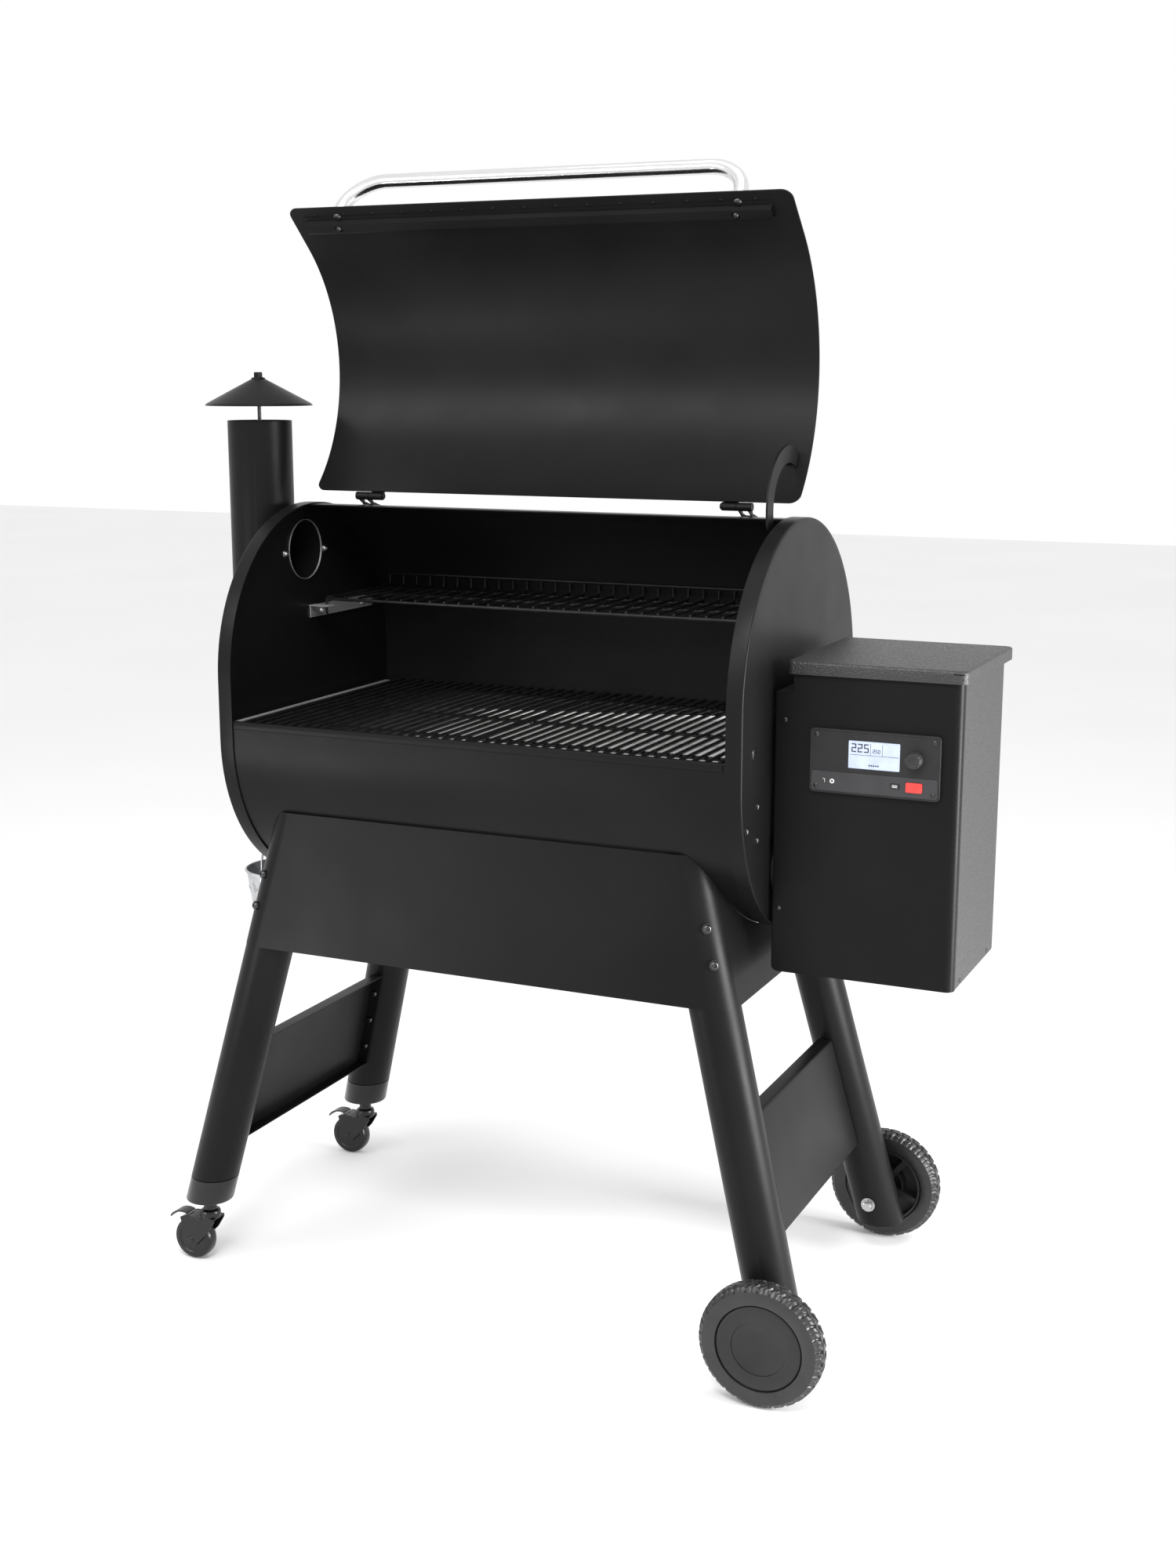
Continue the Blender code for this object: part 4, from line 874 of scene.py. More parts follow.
def make_rack():
    low, high = local_box("upper_rack")
    z = high.z - RACK_ROD_R
    front, back = low.y - 0.003, high.y
    rail_z = high.z + 0.019
    rods = []
    side = RAIL_HALF - 0.005
    count = 2 * round(side / RACK_PITCH)
    for i in range(count + 1):
        x = -side + 2 * side * i / count
        bend = arc((back - 0.006, z + 0.006), 0.006, 270, 360, 5)
        points = [(x, front, z)] + [(x, y, h) for y, h in bend] + [(x, back, rail_z)]
        rods.append(tube(points, RACK_ROD_R, 8))
    under = z - RACK_ROD_R - 0.0020
    for y in (front + 0.002, (front + back) / 2, back - 0.006):
        rods.append(rod((-RAIL_HALF, y, under), (RAIL_HALF, y, under), 0.0026, sides=12))
    rods.append(rod((-side, back - 0.0020, rail_z), (side, back - 0.0020, rail_z), 0.0024, sides=12))
    for out in (-1, 1):
        leg = [
            (out * (RAIL_HALF - 0.010), front, z), (out * RAIL_HALF, front, z),
            (out * (RAIL_HALF + 0.003), front, z - 0.003),
        ]
        leg.append((out * (RAIL_HALF + 0.003), front, z - 0.028))
        rods.append(tube(leg, 0.0020, 10))
    piece("rack_rods", merged(rods), ENAMEL, "rack", "upper_rack")
    ear_z = low.z - 0.009
    for name, side in (("left", -1), ("right", 1)):
        wall = HALF - 0.0024
        strip = box((side * wall, 0.007, ear_z - 0.0195), (side * (wall - 0.0016), 0.198, ear_z))
        ear = box(
            (side * wall, 0.005, ear_z - 0.0008), (side * (wall - 0.036), front - 0.0030, ear_z + 0.0008),
        )
        screws = [
            screw_head((side * (wall - 0.0016), y, ear_z - 0.011), (-side, 0, 0), 0.0036, 0.0020)
            for y in (0.040, 0.165)
        ]
        piece(
            f"rack_support_{name}", merged([strip, ear] + screws), BRIGHT_STEEL, "cart",
            f"rack_bracket_{name}", bevel=0.0004,
        )


def make_inside():
    for node, finish in (
        ("drip_tray", TRAY_STEEL_WITH_PAINTED_SHADE),
        ("heat_baffle", TRAY_STEEL_WITH_PAINTED_SHADE),
        ("fire_pot", TRAY_STEEL_WITH_PAINTED_SHADE),
        ("auger", PLAIN_STEEL),
        ("auger_tube", PLAIN_STEEL),
        ("auger_motor", PLAIN_STEEL),
        ("fan_housing", PLASTIC),
        ("fan_impeller", PLASTIC),
        ("temperature_probe", ZINC),
        ("pellet_bin", GALVANISED),
        ("drain_spout", GALVANISED),
    ):
        for socket in frame["nodes"][node].material_slots:
            socket.material = finish
    low, high = local_box("pellet_bin")
    z = high.z - 0.014
    wires = []
    for y in (low.y + 0.01, 0, high.y - 0.01):
        wires.append(rod((low.x + 0.002, y, z), (high.x - 0.002, y, z), 0.0018, sides=10))
    for i in range(9):
        x = low.x + 0.012 + (high.x - low.x - 0.024) * i / 8
        wires.append(rod((x, low.y + 0.002, z + 0.003), (x, high.y - 0.002, z + 0.003), 0.0018, sides=10))
    piece("finger_guard", merged(wires), ZINC, "cart")
    inner, outer = PORT_R - 0.0007, PORT_R - 0.0001
    profile = [(inner, 0), (inner, 0.0028), (outer, 0.0028), (outer, 0)]
    ring = lathe(profile, (-HALF + 0.0005, 0, PORT.z), (1, 0, 0), 72)
    ledge_z = local_box("cooking_grate_left")[1].z - 0.0040
    ledge = box((-0.3985, -0.232, ledge_z), (-0.3890, 0.215, ledge_z + 0.0016))
    piece("smoke_port_ring", merged([ring, ledge]), BRIGHT_STEEL, "cart")
    nuts = []
    for y in (-0.057, 0.057):
        nuts.append(washer((-HALF + SHEET, y, PORT.z - 0.003), (1, 0, 0), 0.003, 0.0072, 0.0012))
        nuts.append(screw_head((-HALF + SHEET + 0.001, y, PORT.z - 0.003), (1, 0, 0), 0.0045, 0.0034))
    piece("smoke_port_screws", merged(nuts), ZINC, "cart")


# ---------------------------------------------------------------- chimney


def make_chimney():
    low, high = local_box("chimney_pipe")
    cap_low, cap_high = local_box("chimney_cap")
    axis_x = (cap_low.x + cap_high.x) / 2
    radius, wall = 0.0503, 0.0014
    top, foot = 1.3165, low.z
    can = [
        (radius, top - 0.0006), (radius - 0.0004, top), (radius - wall, top), (radius - wall, foot + 0.004),
        (0, foot + 0.004),
    ]
    can += [(0, foot), (radius - 0.008, foot), (radius - 0.002, foot + 0.002), (radius, foot + 0.008)]
    pipe = lathe(can, (axis_x, 0, 0), (0, 0, 1), 96)
    neck = rod((axis_x, 0, PORT.z), (-HALF + 0.001, 0, PORT.z), PORT_R + 0.0010, sides=72)
    bore = rod((axis_x, 0, PORT.z), (-HALF + 0.02, 0, PORT.z), PORT_R - 0.0004, sides=72)
    inside = rod((axis_x, 0, foot + 0.005), (axis_x, 0, top + 0.03), radius - wall, sides=96)
    body = carved(carved(pipe, neck, operation="UNION"), inside, bore)
    piece("chimney_tube", body, COAT, "cart", "chimney_pipe", sharp=25)
    flange = arc((0, PORT.z), 0.0560, 20, 160, 24) + arc((-0.0625, PORT.z), 0.0095, 110, 250, 9)
    flange += arc((0, PORT.z), 0.0560, 200, 340, 24) + arc((0.0625, PORT.z), 0.0095, -70, 70, 9)
    hole = arc((0, PORT.z), PORT_R, 0, 355, 72)
    outer = plate([flange, hole], 0.0022, YZ_PLANE, -HALF - 0.0015)
    heads = [screw_head((-HALF - 0.0025, y, PORT.z), (-1, 0, 0), 0.0048, 0.0026) for y in (-0.0625, 0.0625)]
    piece("chimney_flange", merged([outer] + heads), COAT, "cart", bevel=0.0003)
    seam = box(
        (axis_x - 0.0030, radius - 0.0009, foot + 0.010), (axis_x + 0.0030, radius + 0.0005, top - 0.004),
    )
    bar_z = top - 0.012
    bar = box(
        (axis_x - radius + 0.001, -0.006, bar_z - 0.0012), (axis_x + radius - 0.001, 0.006, bar_z + 0.0012),
    )
    piece("chimney_crossbar", merged([seam, bar]), COAT, "cart", bevel=0.0004)
    stem = rod((axis_x, 0, bar_z - 0.01), (axis_x, 0, high.z - 0.0003), 0.0029, sides=24)
    nut = rod((axis_x, 0, bar_z + 0.0012), (axis_x, 0, bar_z + 0.0062), 0.0060, sides=6)
    piece("chimney_stem", merged([stem, nut]), FASTENER, "cart")
    big = (cap_high.x - cap_low.x) / 2
    base, tip = cap_low.z, cap_high.z
    cone = [
        (0.0042, tip - 0.0070), (big - 0.0035, base + 0.0042), (big - 0.0008, base + 0.0020),
        (big, base + 0.0008),
    ]
    cone += [(big - 0.0004, base), (big - 0.0034, base + 0.0026), (0.0042, tip - 0.0086)]
    nut = [
        (0.0033, tip), (0.0060, tip), (0.0072, tip - 0.0010), (0.0074, tip - 0.0080), (0.0033, tip - 0.0080),
    ]
    washer_profile = [
        (0.0033, tip - 0.0070), (0.0105, tip - 0.0086), (0.0108, tip - 0.0100), (0.0033, tip - 0.0090),
    ]
    under = [(0.0034, tip - 0.0095), (0.0075, tip - 0.0110), (0.0150, tip - 0.0170), (0.0034, tip - 0.0150)]
    parts = [lathe(cone, (axis_x, 0, 0), (0, 0, 1), 96), lathe(nut, (axis_x, 0, 0), (0, 0, 1), 6)]
    parts += [
        lathe(washer_profile, (axis_x, 0, 0), (0, 0, 1), 40), lathe(under, (axis_x, 0, 0), (0, 0, 1), 40),
    ]
    piece("chimney_cone", merged(parts), COAT, "cap", "chimney_cap", sharp=30)


# ---------------------------------------------------------------- hopper and controller


def make_hopper():
    low, high = local_box("hopper_casing")
    front, back = low.y, 0.104
    left, right = low.x, high.x
    bottom, top = low.z, high.z
    step_x, step_z = 0.4459, 0.964
    corner = 0.012
    skin = 0.0016
    split = right - corner
    outline = [(left, back), (left, front + 0.002)] + arc(
        (left + 0.002, front + 0.002), 0.002, 180, 270, 4,
    )[1:]
    outline += arc((split, front + corner), corner, -90, 0, 12) + [(right, front + corner + 0.004)]
    wrap = folded(outline, bottom, top - 0.001, skin)
    window = box((0.4835, front - 0.01, 0.840), (0.6435, front + 0.01, 0.910))
    notch = box((left - 0.01, front - 0.01, step_z), (step_x, back + 0.01, top + 0.01))
    wedge = plate(
        [
            [(left - 0.001, bottom - 0.001), (left + 0.010, bottom - 0.001)] + list(
                reversed(arc((left + 0.010, bottom + 0.010), 0.010, 180, 270, 8))
            )
        ],
        0.05, XZ_PLANE, -front,
    )
    screw_z = local_point("feed_screw_turn").z
    fan = local_point("fan_turn")
    tube_hole = rod((left - 0.01, 0, screw_z), (left + 0.01, 0, screw_z), 0.0254, sides=48)
    fan_hole = rod((left - 0.01, fan.y, fan.z), (left + 0.01, fan.y, fan.z), 0.0415, sides=48)
    wrap = carved(wrap, window, notch, tube_hole, fan_hole, wedge)
    piece("hopper_front_skin", wrap, COAT, "cart", "hopper_casing", sharp=40)
    side = plate(
        [rounded((front + corner + 0.0046, bottom + 0.0004), (back - 0.001, top - 0.002), 0.003)], skin,
        YZ_PLANE, right - 0.0010,
    )
    piece("hopper_side_skin", side, HAMMERED, "cart", bevel=0.0004)
    rear = plate(
        [
            rounded((left + 0.0004, bottom + 0.0004), (right - 0.0022, top - 0.002), 0.003),
            rounded((0.6005, 0.6005), (0.6455, 0.6275), 0.002),
            rounded((0.500, 0.725), (0.580, 0.785), 0.002),
        ],
        skin,
        XZ_PLANE,
        -(back - skin / 2),
    )
    piece(
        "hopper_back_skin",
        carved(rear, box((left - 0.01, back - 0.02, step_z), (step_x, back + 0.01, top + 0.01))), COAT,
        "cart", bevel=0.0003,
    )
    base = plate(
        [rounded((left + 0.002, front + 0.002), (right - 0.002, back - 0.002), 0.008)], skin, XY_PLANE,
        bottom + skin / 2,
    )
    ledge = box((left + 0.0006, front + 0.0008, step_z - 0.0018), (step_x + 0.001, back - 0.0018, step_z))
    riser = box((step_x, front + 0.0008, step_z - 0.0018), (step_x + 0.0014, back - 0.0018, top - 0.0015))
    piece("hopper_base", merged([base, ledge, riser]), COAT, "cart", bevel=0.0003)
    ears = [box((x, back - 0.001, 0.990), (x + 0.004, 0.124, 1.002)) for x in (0.470, 0.648)]
    ears.append(rod((0.4722, 0.118, 0.996), (0.6500, 0.118, 0.996), 0.0029, sides=24))
    piece("hopper_hinge_lugs", merged(ears), COAT, "cart", bevel=0.0004)
    heads = [
        screw_head((x, front, z), (0, -1, 0), 0.0032, 0.0014)
        for x, z in ((0.4347, 0.926), (0.4305, 0.659))
    ]
    heads += [screw_head((right, y, 0.573), (1, 0, 0), 0.0030, 0.0014) for y in (0.070, -0.086)]
    heads += [
        screw_head((x, back, z), (0, 1, 0), 0.0032, 0.0014)
        for x in (0.432, 0.668)
        for z in (0.580, 0.760, 0.940)
    ]
    piece("hopper_screws", merged(heads), FASTENER, "cart")


def folded(outline, bottom, top, thickness):
    """A sheet along an (x, y) line, thickened towards the inside, which is the side with the lower x."""
    for offset in (1.0, -1.0):
        mesh = solid(grid([[(x, y, z) for x, y in outline] for z in (bottom, top)]), thickness, offset)
        if max(vertex.co.x for vertex in mesh.vertices) <= max(x for x, y in outline) + 1e-5:
            break
    return mesh


def make_hopper_lid():
    low, high = local_box("hopper_lid")
    edge = 0.0035
    rows = []
    corner = 0.010
    for i in range(6):
        turn = math.radians(90 * i / 5)
        inset = edge - edge * math.sin(turn)
        height = high.z - edge + edge * math.cos(turn)
        rows.append(
            [
                (x, y, height)
                for x, y in rounded(
                    (low.x + inset, low.y + inset), (high.x - inset, high.y - inset), corner - inset * 0.5, 8,
                )
            ]
        )
    bottom = high.z - 0.018
    rows.append([(x, y, bottom + 0.0004) for x, y in rounded((low.x, low.y), (high.x, high.y), corner, 8)])
    mesh = solid(grid(rows, wrap_columns=True, floor=True), 0.0014)
    slot_cut = box(
        (high.x - 0.018, low.y - 0.004, high.z - 0.0052), (high.x - 0.0030, low.y + 0.0030, high.z - 0.0040),
    )
    piece(
        "hopper_lid_pressing", carved(mesh, slot_cut), HAMMERED, "hopper_cover",
        "hopper_lid", sharp=40,
    )
    y, z = local_point("hopper_lid_hinge").yz
    knuckles = []
    for x in (0.4745, 0.6315):
        knuckles.append(
            lathe(
                [(0.0031, x), (0.0060, x), (0.0060, x + 0.016), (0.0031, x + 0.016)], (0, y, z), (1, 0, 0),
                32,
            )
        )
        knuckles.append(box((x, y - 0.0035, z + 0.0045), (x + 0.016, y + 0.0035, high.z - 0.0012)))
    piece("hopper_lid_knuckles", merged(knuckles), COAT, "hopper_cover")


def digit_bars(lit, corner, width, height, thick, face):
    """A digit of straight bars."""
    x, z = corner
    half = height / 2
    places = {
        "a": ((x, z + height - thick), (x + width, z + height)),
        "b": ((x + width - thick, z + half), (x + width, z + height)),
        "c": ((x + width - thick, z), (x + width, z + half)),
        "d": ((x, z), (x + width, z + thick)),
        "e": ((x, z), (x + thick, z + half)),
        "f": ((x, z + half), (x + thick, z + height)),
        "g": ((x, z + half - thick / 2), (x + width, z + half + thick / 2)),
    }
    return [
        box((a[0], face - 0.00035, a[1]), (b[0], face + 0.0002, b[1]))
        for key, (a, b) in places.items()
        if key in lit
    ]


def around(corners, extra, radius):
    """A rounded outline about a box as the front shows it, larger by extra on each side."""
    low, high = corners
    return rounded((low.x - extra, low.z - extra), (high.x + extra, high.z + extra), radius)


def make_controller():
    low, high = local_box("control_panel")
    face = low.y
    lcd, red, menu = (local_box(node) for node in ("lcd_display", "ignite_button", "menu_button"))
    lcd_low, lcd_high = lcd
    knob = local_point("knob_turn")
    jack = (0.5049, 0.8474)
    body = plate(
        [
            around((low, high), 0, 0.0055),
            around(lcd, 0.0002, 0.0015),
            around(red, 0.0002, 0.0018),
            around(menu, 0.0002, 0.0015),
            arc((knob.x, knob.z), 0.0034, 0, 345, 24),
            arc(jack, 0.0019, 0, 345, 24),
        ],
        0.0050,
        XZ_PLANE,
        -face - 0.0033,
    )
    piece(
        "controller_bezel", body, PANEL_PLASTIC, "cart", "control_panel", bevel=0.0009,
        steps=3,
    )
    rim_outlines = [around((low, high), 0, 0.0055), around((low, high), -0.0022, 0.0040)]
    rim = plate(rim_outlines, 0.0010, XZ_PLANE, -face - 0.0004)
    piece("controller_rim", rim, PANEL_PLASTIC, "cart", bevel=0.0003)
    strip_top = 0.8605
    strip = plate(
        [
            rounded((low.x + 0.0026, low.z + 0.0026), (high.x - 0.0026, strip_top), 0.0030),
            around(red, 0.0003, 0.0018),
            around(menu, 0.0003, 0.0015),
            arc(jack, 0.0021, 0, 345, 24),
            arc((low.x + 0.0085, low.z + 0.0085), 0.0034, 0, 345, 20),
            arc((high.x - 0.0085, low.z + 0.0085), 0.0034, 0, 345, 20),
        ],
        0.0006,
        XZ_PLANE,
        -face - 0.0005,
    )
    piece("controller_strip", strip, STRIP_PLASTIC, "cart")
    backing = box((0.4860, -0.1320, 0.8425), (0.6410, -0.1005, 0.9075))
    piece("controller_box", backing, PLASTIC, "cart", bevel=0.002)
    corners = [(x, z) for x in (low.x + 0.0085, high.x - 0.0085) for z in (low.z + 0.0085, high.z - 0.0085)]
    piece(
        "controller_screws",
        merged([screw_head((x, face + 0.0012, z), (0, -1, 0), 0.0031, 0.0013) for x, z in corners]), FASTENER,
        "cart",
    )
    ring = [(0.0014, -0.0010), (0.0014, 0.0006), (0.0024, 0.0010), (0.0032, 0.0006), (0.0032, -0.0010)]
    piece(
        "probe_jack", lathe(ring, (jack[0], face, jack[1]), (0, -1, 0), 32), PALE_MARK, "cart",
    )
    mark = [
        rod(
            (jack[0] - 0.0105, face, jack[1] - 0.0022), (jack[0] - 0.0105, face, jack[1] + 0.0018), 0.00035,
            sides=8,
        )
    ]
    mark.append(
        tube(
            [
                (
                    jack[0] - 0.0105 - 0.0012 + 0.0012 * math.cos(a), face,
                    jack[1] + 0.0018 + 0.0012 * math.sin(a),
                )
                for a in [math.pi * i / 8 for i in range(9)]
            ],
            0.00035, 8,
        )
    )
    piece("probe_jack_mark", merged(mark), PALE_MARK, "cart")

    screen = lcd_low.y
    glass = plate([around(lcd, 0, 0.0013)], 0.0022, XZ_PLANE, -screen - 0.0013)
    piece("display_screen", glass, DISPLAY, "cart", "lcd_display", bevel=0.0002)
    width, height = lcd_high.x - lcd_low.x, lcd_high.z - lcd_low.z
    line_z = lcd_low.z + height * 0.50
    ink_y = screen + 0.0001
    digit_w, digit_h = width * 0.088, height * 0.30
    ink = []
    lit = {"0": "abcdef", "2": "abged", "5": "afgcd"}
    for i, digit in enumerate("225"):
        corner = (lcd_low.x + width * (0.060 + 0.122 * i), line_z + height * 0.10)
        ink += digit_bars(lit[digit], corner, digit_w, digit_h, 0.0012, ink_y)
    for i, digit in enumerate("250"):
        corner = (lcd_low.x + width * (0.475 + 0.052 * i), line_z + height * 0.10)
        ink += digit_bars(lit[digit], corner, digit_w * 0.42, digit_h * 0.42, 0.00045, ink_y)
    ink.append(
        box(
            (lcd_low.x + 0.002, ink_y - 0.0003, line_z - 0.00015),
            (lcd_high.x - 0.002, ink_y + 0.0002, line_z + 0.00015),
        )
    )
    for share in (0.43, 0.66):
        x = lcd_low.x + width * share
        ink.append(
            box((x - 0.00015, ink_y - 0.0003, line_z), (x + 0.00015, ink_y + 0.0002, lcd_high.z - 0.003))
        )
    bars_x = lcd_low.x + width * 0.40
    for i in range(5):
        ink.append(
            box(
                (bars_x + 0.003 * i, ink_y - 0.0003, lcd_low.z + 0.0045),
                (bars_x + 0.003 * i + 0.0018, ink_y + 0.0002, lcd_low.z + 0.0062),
            )
        )
    piece("display_figures", merged(ink), DISPLAY_INK, "cart")

    piece(
        "ignite_key", push_key(red, 0.0018), RED, "ignite", "ignite_button", bevel=0.0006,
        steps=3,
    )
    piece(
        "menu_key", push_key(menu, 0.0015), KNOB_PLASTIC, "menu", "menu_button",
        bevel=0.0005, steps=3,
    )
    left, right, face = menu[0].x + 0.0025, menu[1].x - 0.0025, menu[0].y
    lines = []
    for z in (0.8461, 0.8475, 0.8489):
        lines.append(box((left, face - 0.0002, z - 0.0003), (right, face + 0.0003, z + 0.0003)))
    piece("menu_key_mark", merged(lines), PALE_MARK, "menu")
    make_knob(knob)


def push_key(corners, radius):
    low, high = corners
    return plate([around(corners, 0, radius)], high.y - low.y, XZ_PLANE, -(low.y + high.y) / 2)


def make_knob(place):
    """A knob with scalloped sides and a dished face."""
    profile = [
        (0.0, 0.0118), (0.0070, 0.0122), (0.0086, 0.0130), (0.0098, 0.0129), (0.0106, 0.0118),
        (0.0110, 0.0035),
    ]
    profile += [(0.0118, 0.0022), (0.0118, 0.0006), (0.0033, 0.0006), (0.0033, -0.0095), (0.0, -0.0095)]
    knob = lathe(profile, place, (0, -1, 0), 96, closed=False)
    for vertex in knob.vertices:
        x, z = vertex.co.x - place.x, vertex.co.z - place.z
        radius = math.hypot(x, z)
        depth = place.y - vertex.co.y
        if radius > 0.0092 and depth > 0.003:
            shrink = 1 - 0.055 * (0.5 + 0.5 * math.cos(12 * math.atan2(z, x))) ** 2
            vertex.co.x = place.x + x * shrink
            vertex.co.z = place.z + z * shrink
    piece("knob_grip", knob, KNOB_PLASTIC, "knob", "control_knob", sharp=50)


def make_back():
    low, high = local_box("power_inlet")
    back = high.y
    ring = plate(
        [
            rounded((low.x, low.z), (high.x, high.z), 0.004),
            rounded((0.6055, 0.6045), (0.6405, 0.6235), 0.003),
        ],
        0.0018, XZ_PLANE, -(back - 0.0010),
    )
    shroud = carved(
        box((0.6015, low.y + 0.001, 0.6015), (0.6445, back - 0.001, 0.6265)),
        box((0.6055, low.y + 0.008, 0.6045), (0.6405, back + 0.01, 0.6235)),
    )
    blades = [
        box((x - 0.001, low.y + 0.006, 0.611), (x + 0.001, back - 0.003, 0.617))
        for x in (0.614, 0.623, 0.632)
    ]
    piece(
        "inlet_socket", merged([ring, shroud]), PLASTIC, "cart", "power_inlet", bevel=0.0004,
    )
    piece("inlet_blades", merged(blades), ZINC, "cart", bevel=0.0003)
    low, high = local_box("cleanout_door")
    door = plate([rounded((low.x, low.z), (high.x, high.z), 0.004)], 0.0018, XZ_PLANE, -(low.y + 0.0010))
    grip = [
        (0, 0.0135), (0.0050, 0.0135), (0.0068, 0.0120), (0.0066, 0.0080), (0.0040, 0.0050), (0.0040, 0.0010),
        (0, 0.0010),
    ]
    knob = lathe(grip, ((low.x + high.x) / 2, low.y + 0.0005, 0.755), (0, 1, 0), 40, closed=False)
    piece(
        "cleanout_plate", merged([door, knob]), COAT, "cleanout", "cleanout_door",
        bevel=0.0003,
    )
    rails = []
    for x in (low.x - 0.0030, high.x + 0.0006):
        rails.append(box((x, low.y - 0.0006, low.z), (x + 0.0024, low.y + 0.0030, low.z + 0.130)))
    piece("cleanout_rails", merged(rails), COAT, "cart", bevel=0.0004)


# ---------------------------------------------------------------- cart

LEG_Z, LEG_X, LEG_Y = 0.494, 0.3745, 0.2075
SLOPE_X, SLOPE_Y = 0.256, 0.0816
LEG_R = 0.0374


def leg_centre(z):
    return LEG_X + SLOPE_X * (LEG_Z - z), LEG_Y + SLOPE_Y * (LEG_Z - z)


def leg_ring(side_x, side_y, z, radius, count=72):
    x, y = leg_centre(z)
    return [
        (side_x * x + radius * math.cos(a), side_y * y + radius * math.sin(a), z)
        for a in [2 * math.pi * i / count for i in range(count)]
    ]


def barrel_envelope(extra):
    return plate([stadium(SHELL_R + extra)], 2 * HALF + 0.01, YZ_PLANE, 0)


def make_legs():
    for name, side_x, side_y in (
        ("front_left", -1, -1), ("rear_left", -1, 1), ("front_right", 1, -1), ("rear_right", 1, 1),
    ):
        low, high = local_box(f"leg_{name}")
        end = low.z
        start = end
        if side_x < 0:
            start = end + 0.040
            foot = [
                (end, LEG_R - 0.0022), (end + 0.0006, LEG_R - 0.0008), (end + 0.0020, LEG_R),
                (start - 0.0010, LEG_R),
            ]
            foot += [(start - 0.0004, LEG_R - 0.0010)]
            plug = grid(
                [leg_ring(side_x, side_y, z, radius) for z, radius in foot], wrap_columns=True, cap=True,
            )
            x, y = leg_centre(end)
            plug = carved(
                plug, rod((-x, side_y * y, end - 0.01), (-x, side_y * y, end + 0.02), 0.0055, sides=24),
            )
            piece(f"leg_plug_{name}", plug, GLOSS_PLASTIC, "cart")
        levels = [
            (start, LEG_R - 0.0012), (start + 0.0005, LEG_R - 0.0003), (start + 0.0015, LEG_R),
            (high.z, LEG_R),
        ]
        rows = [leg_ring(side_x, side_y, z, radius) for z, radius in levels]
        mesh = carved(grid(rows, wrap_columns=True, cap=True), barrel_envelope(0.0004))
        if side_x > 0:
            x, y = leg_centre(0.090)
            mesh = carved(
                mesh, rod((x, side_y * (y - 0.06), 0.090), (x, side_y * (y + 0.06), 0.090), 0.0068, sides=32),
            )
        piece(f"leg_tube_{name}", mesh, COAT, "cart", f"leg_{name}", sharp=25)
    bolts = []
    for side_x in (-1, 1):
        for side_y in (-1, 1):
            for z in (0.6405, 0.5910):
                x, y = leg_centre(z)
                turn = math.radians(52)
                normal = Vector((side_x * math.cos(turn), side_y * math.sin(turn), 0.12)).normalized()
                place = Vector((side_x * x, side_y * y, z)) + normal * (LEG_R + 0.0017)
                bolts.append(screw_head(place, normal, 0.0062, 0.0040))
                bolts.append(washer(place, normal, 0.0030, 0.0074, 0.0008))
    piece("leg_bolts", merged(bolts), FASTENER, "cart")


def skirt_section(side_y, z, radius):
    x, y = leg_centre(z)
    corner = arc((0, 0), radius, 0, 90, 16)
    right = [(x + radius, 0.0006)] + [(x + u, y + v) for u, v in corner]
    left = [(-u, v) for u, v in reversed(right)]
    middle = [(right[-1][0] + (left[0][0] - right[-1][0]) * i / 6, right[-1][1]) for i in range(1, 6)]
    return [(u, side_y * v, z) for u, v in right + middle + left]


def make_skirts():
    for name, side_y in (("front", -1), ("rear", 1)):
        low, high = local_box(f"skirt_{name}")
        radius = LEG_R + 0.0006
        levels = [low.z + 0.0003, low.z + 0.02, 0.62, 0.70, high.z]
        mesh = grid([skirt_section(side_y, z, radius) for z in levels])
        face = max(mesh.polygons, key=lambda item: item.area)
        mesh = solid(mesh, 0.0015, 1.0 if face.normal.y * side_y > 0 else -1.0)
        mesh = carved(mesh, barrel_envelope(0.0004))
        piece(
            f"skirt_sheet_{name}", mesh, COAT, "cart", f"skirt_{name}", bevel=0.0004,
            sharp=30,
        )


def make_side_panels():
    for name, side in (("left", -1), ("right", 1)):
        low, high = local_box(f"side_panel_{name}")
        bottom, top = low.z, high.z
        rows = []
        edge = 0.003
        for i in range(5):
            turn = math.radians(90 * i / 4)
            trim = edge - edge * math.sin(turn)
            inset = edge - edge * math.cos(turn)
            rows.append(panel_ring(side, bottom + trim, top - trim, inset, trim))
        rows.append(panel_ring(side, bottom, top, 0.0222, 0))
        mesh = solid(grid(rows, wrap_columns=True, floor=True), 0.0018)
        piece(f"side_pan_{name}", mesh, COAT, "cart", f"side_panel_{name}", sharp=30)
        bolts = []
        for side_y in (-1, 1):
            for z in (bottom + 0.035, (bottom + top) / 2, top - 0.035):
                x, y = leg_centre(z)
                bolts.append(
                    screw_head(
                        (side * (x - 0.003), side_y * (y - 0.0415), z), (0, -side_y, 0), 0.0050, 0.0034,
                    )
                )
        piece(f"side_pan_bolts_{name}", merged(bolts), FASTENER, "cart")


def panel_ring(side, bottom, top, inset, trim):
    """The panel's outline between the legs, set in from its face and trimmed at its edges."""
    ring = []
    for z, order in ((bottom, (-1, 1)), (top, (1, -1))):
        x, y = leg_centre(z)
        ring += [(side * (x + 0.010 - inset), turn * (y - 0.0377 - 0.0010 - trim), z) for turn in order]
    return ring


TREAD_BLOCKS = 30
TREAD_STEPS = 16
TREAD_DEPTH = 0.0028


def triangle(value):
    """A zigzag between -1 and 1."""
    return 4 * np.abs(value - np.floor(value) - 0.5) - 1


def near_line(distance, half, soft):
    return np.clip((half + soft - np.abs(distance)) / soft, 0, 1)


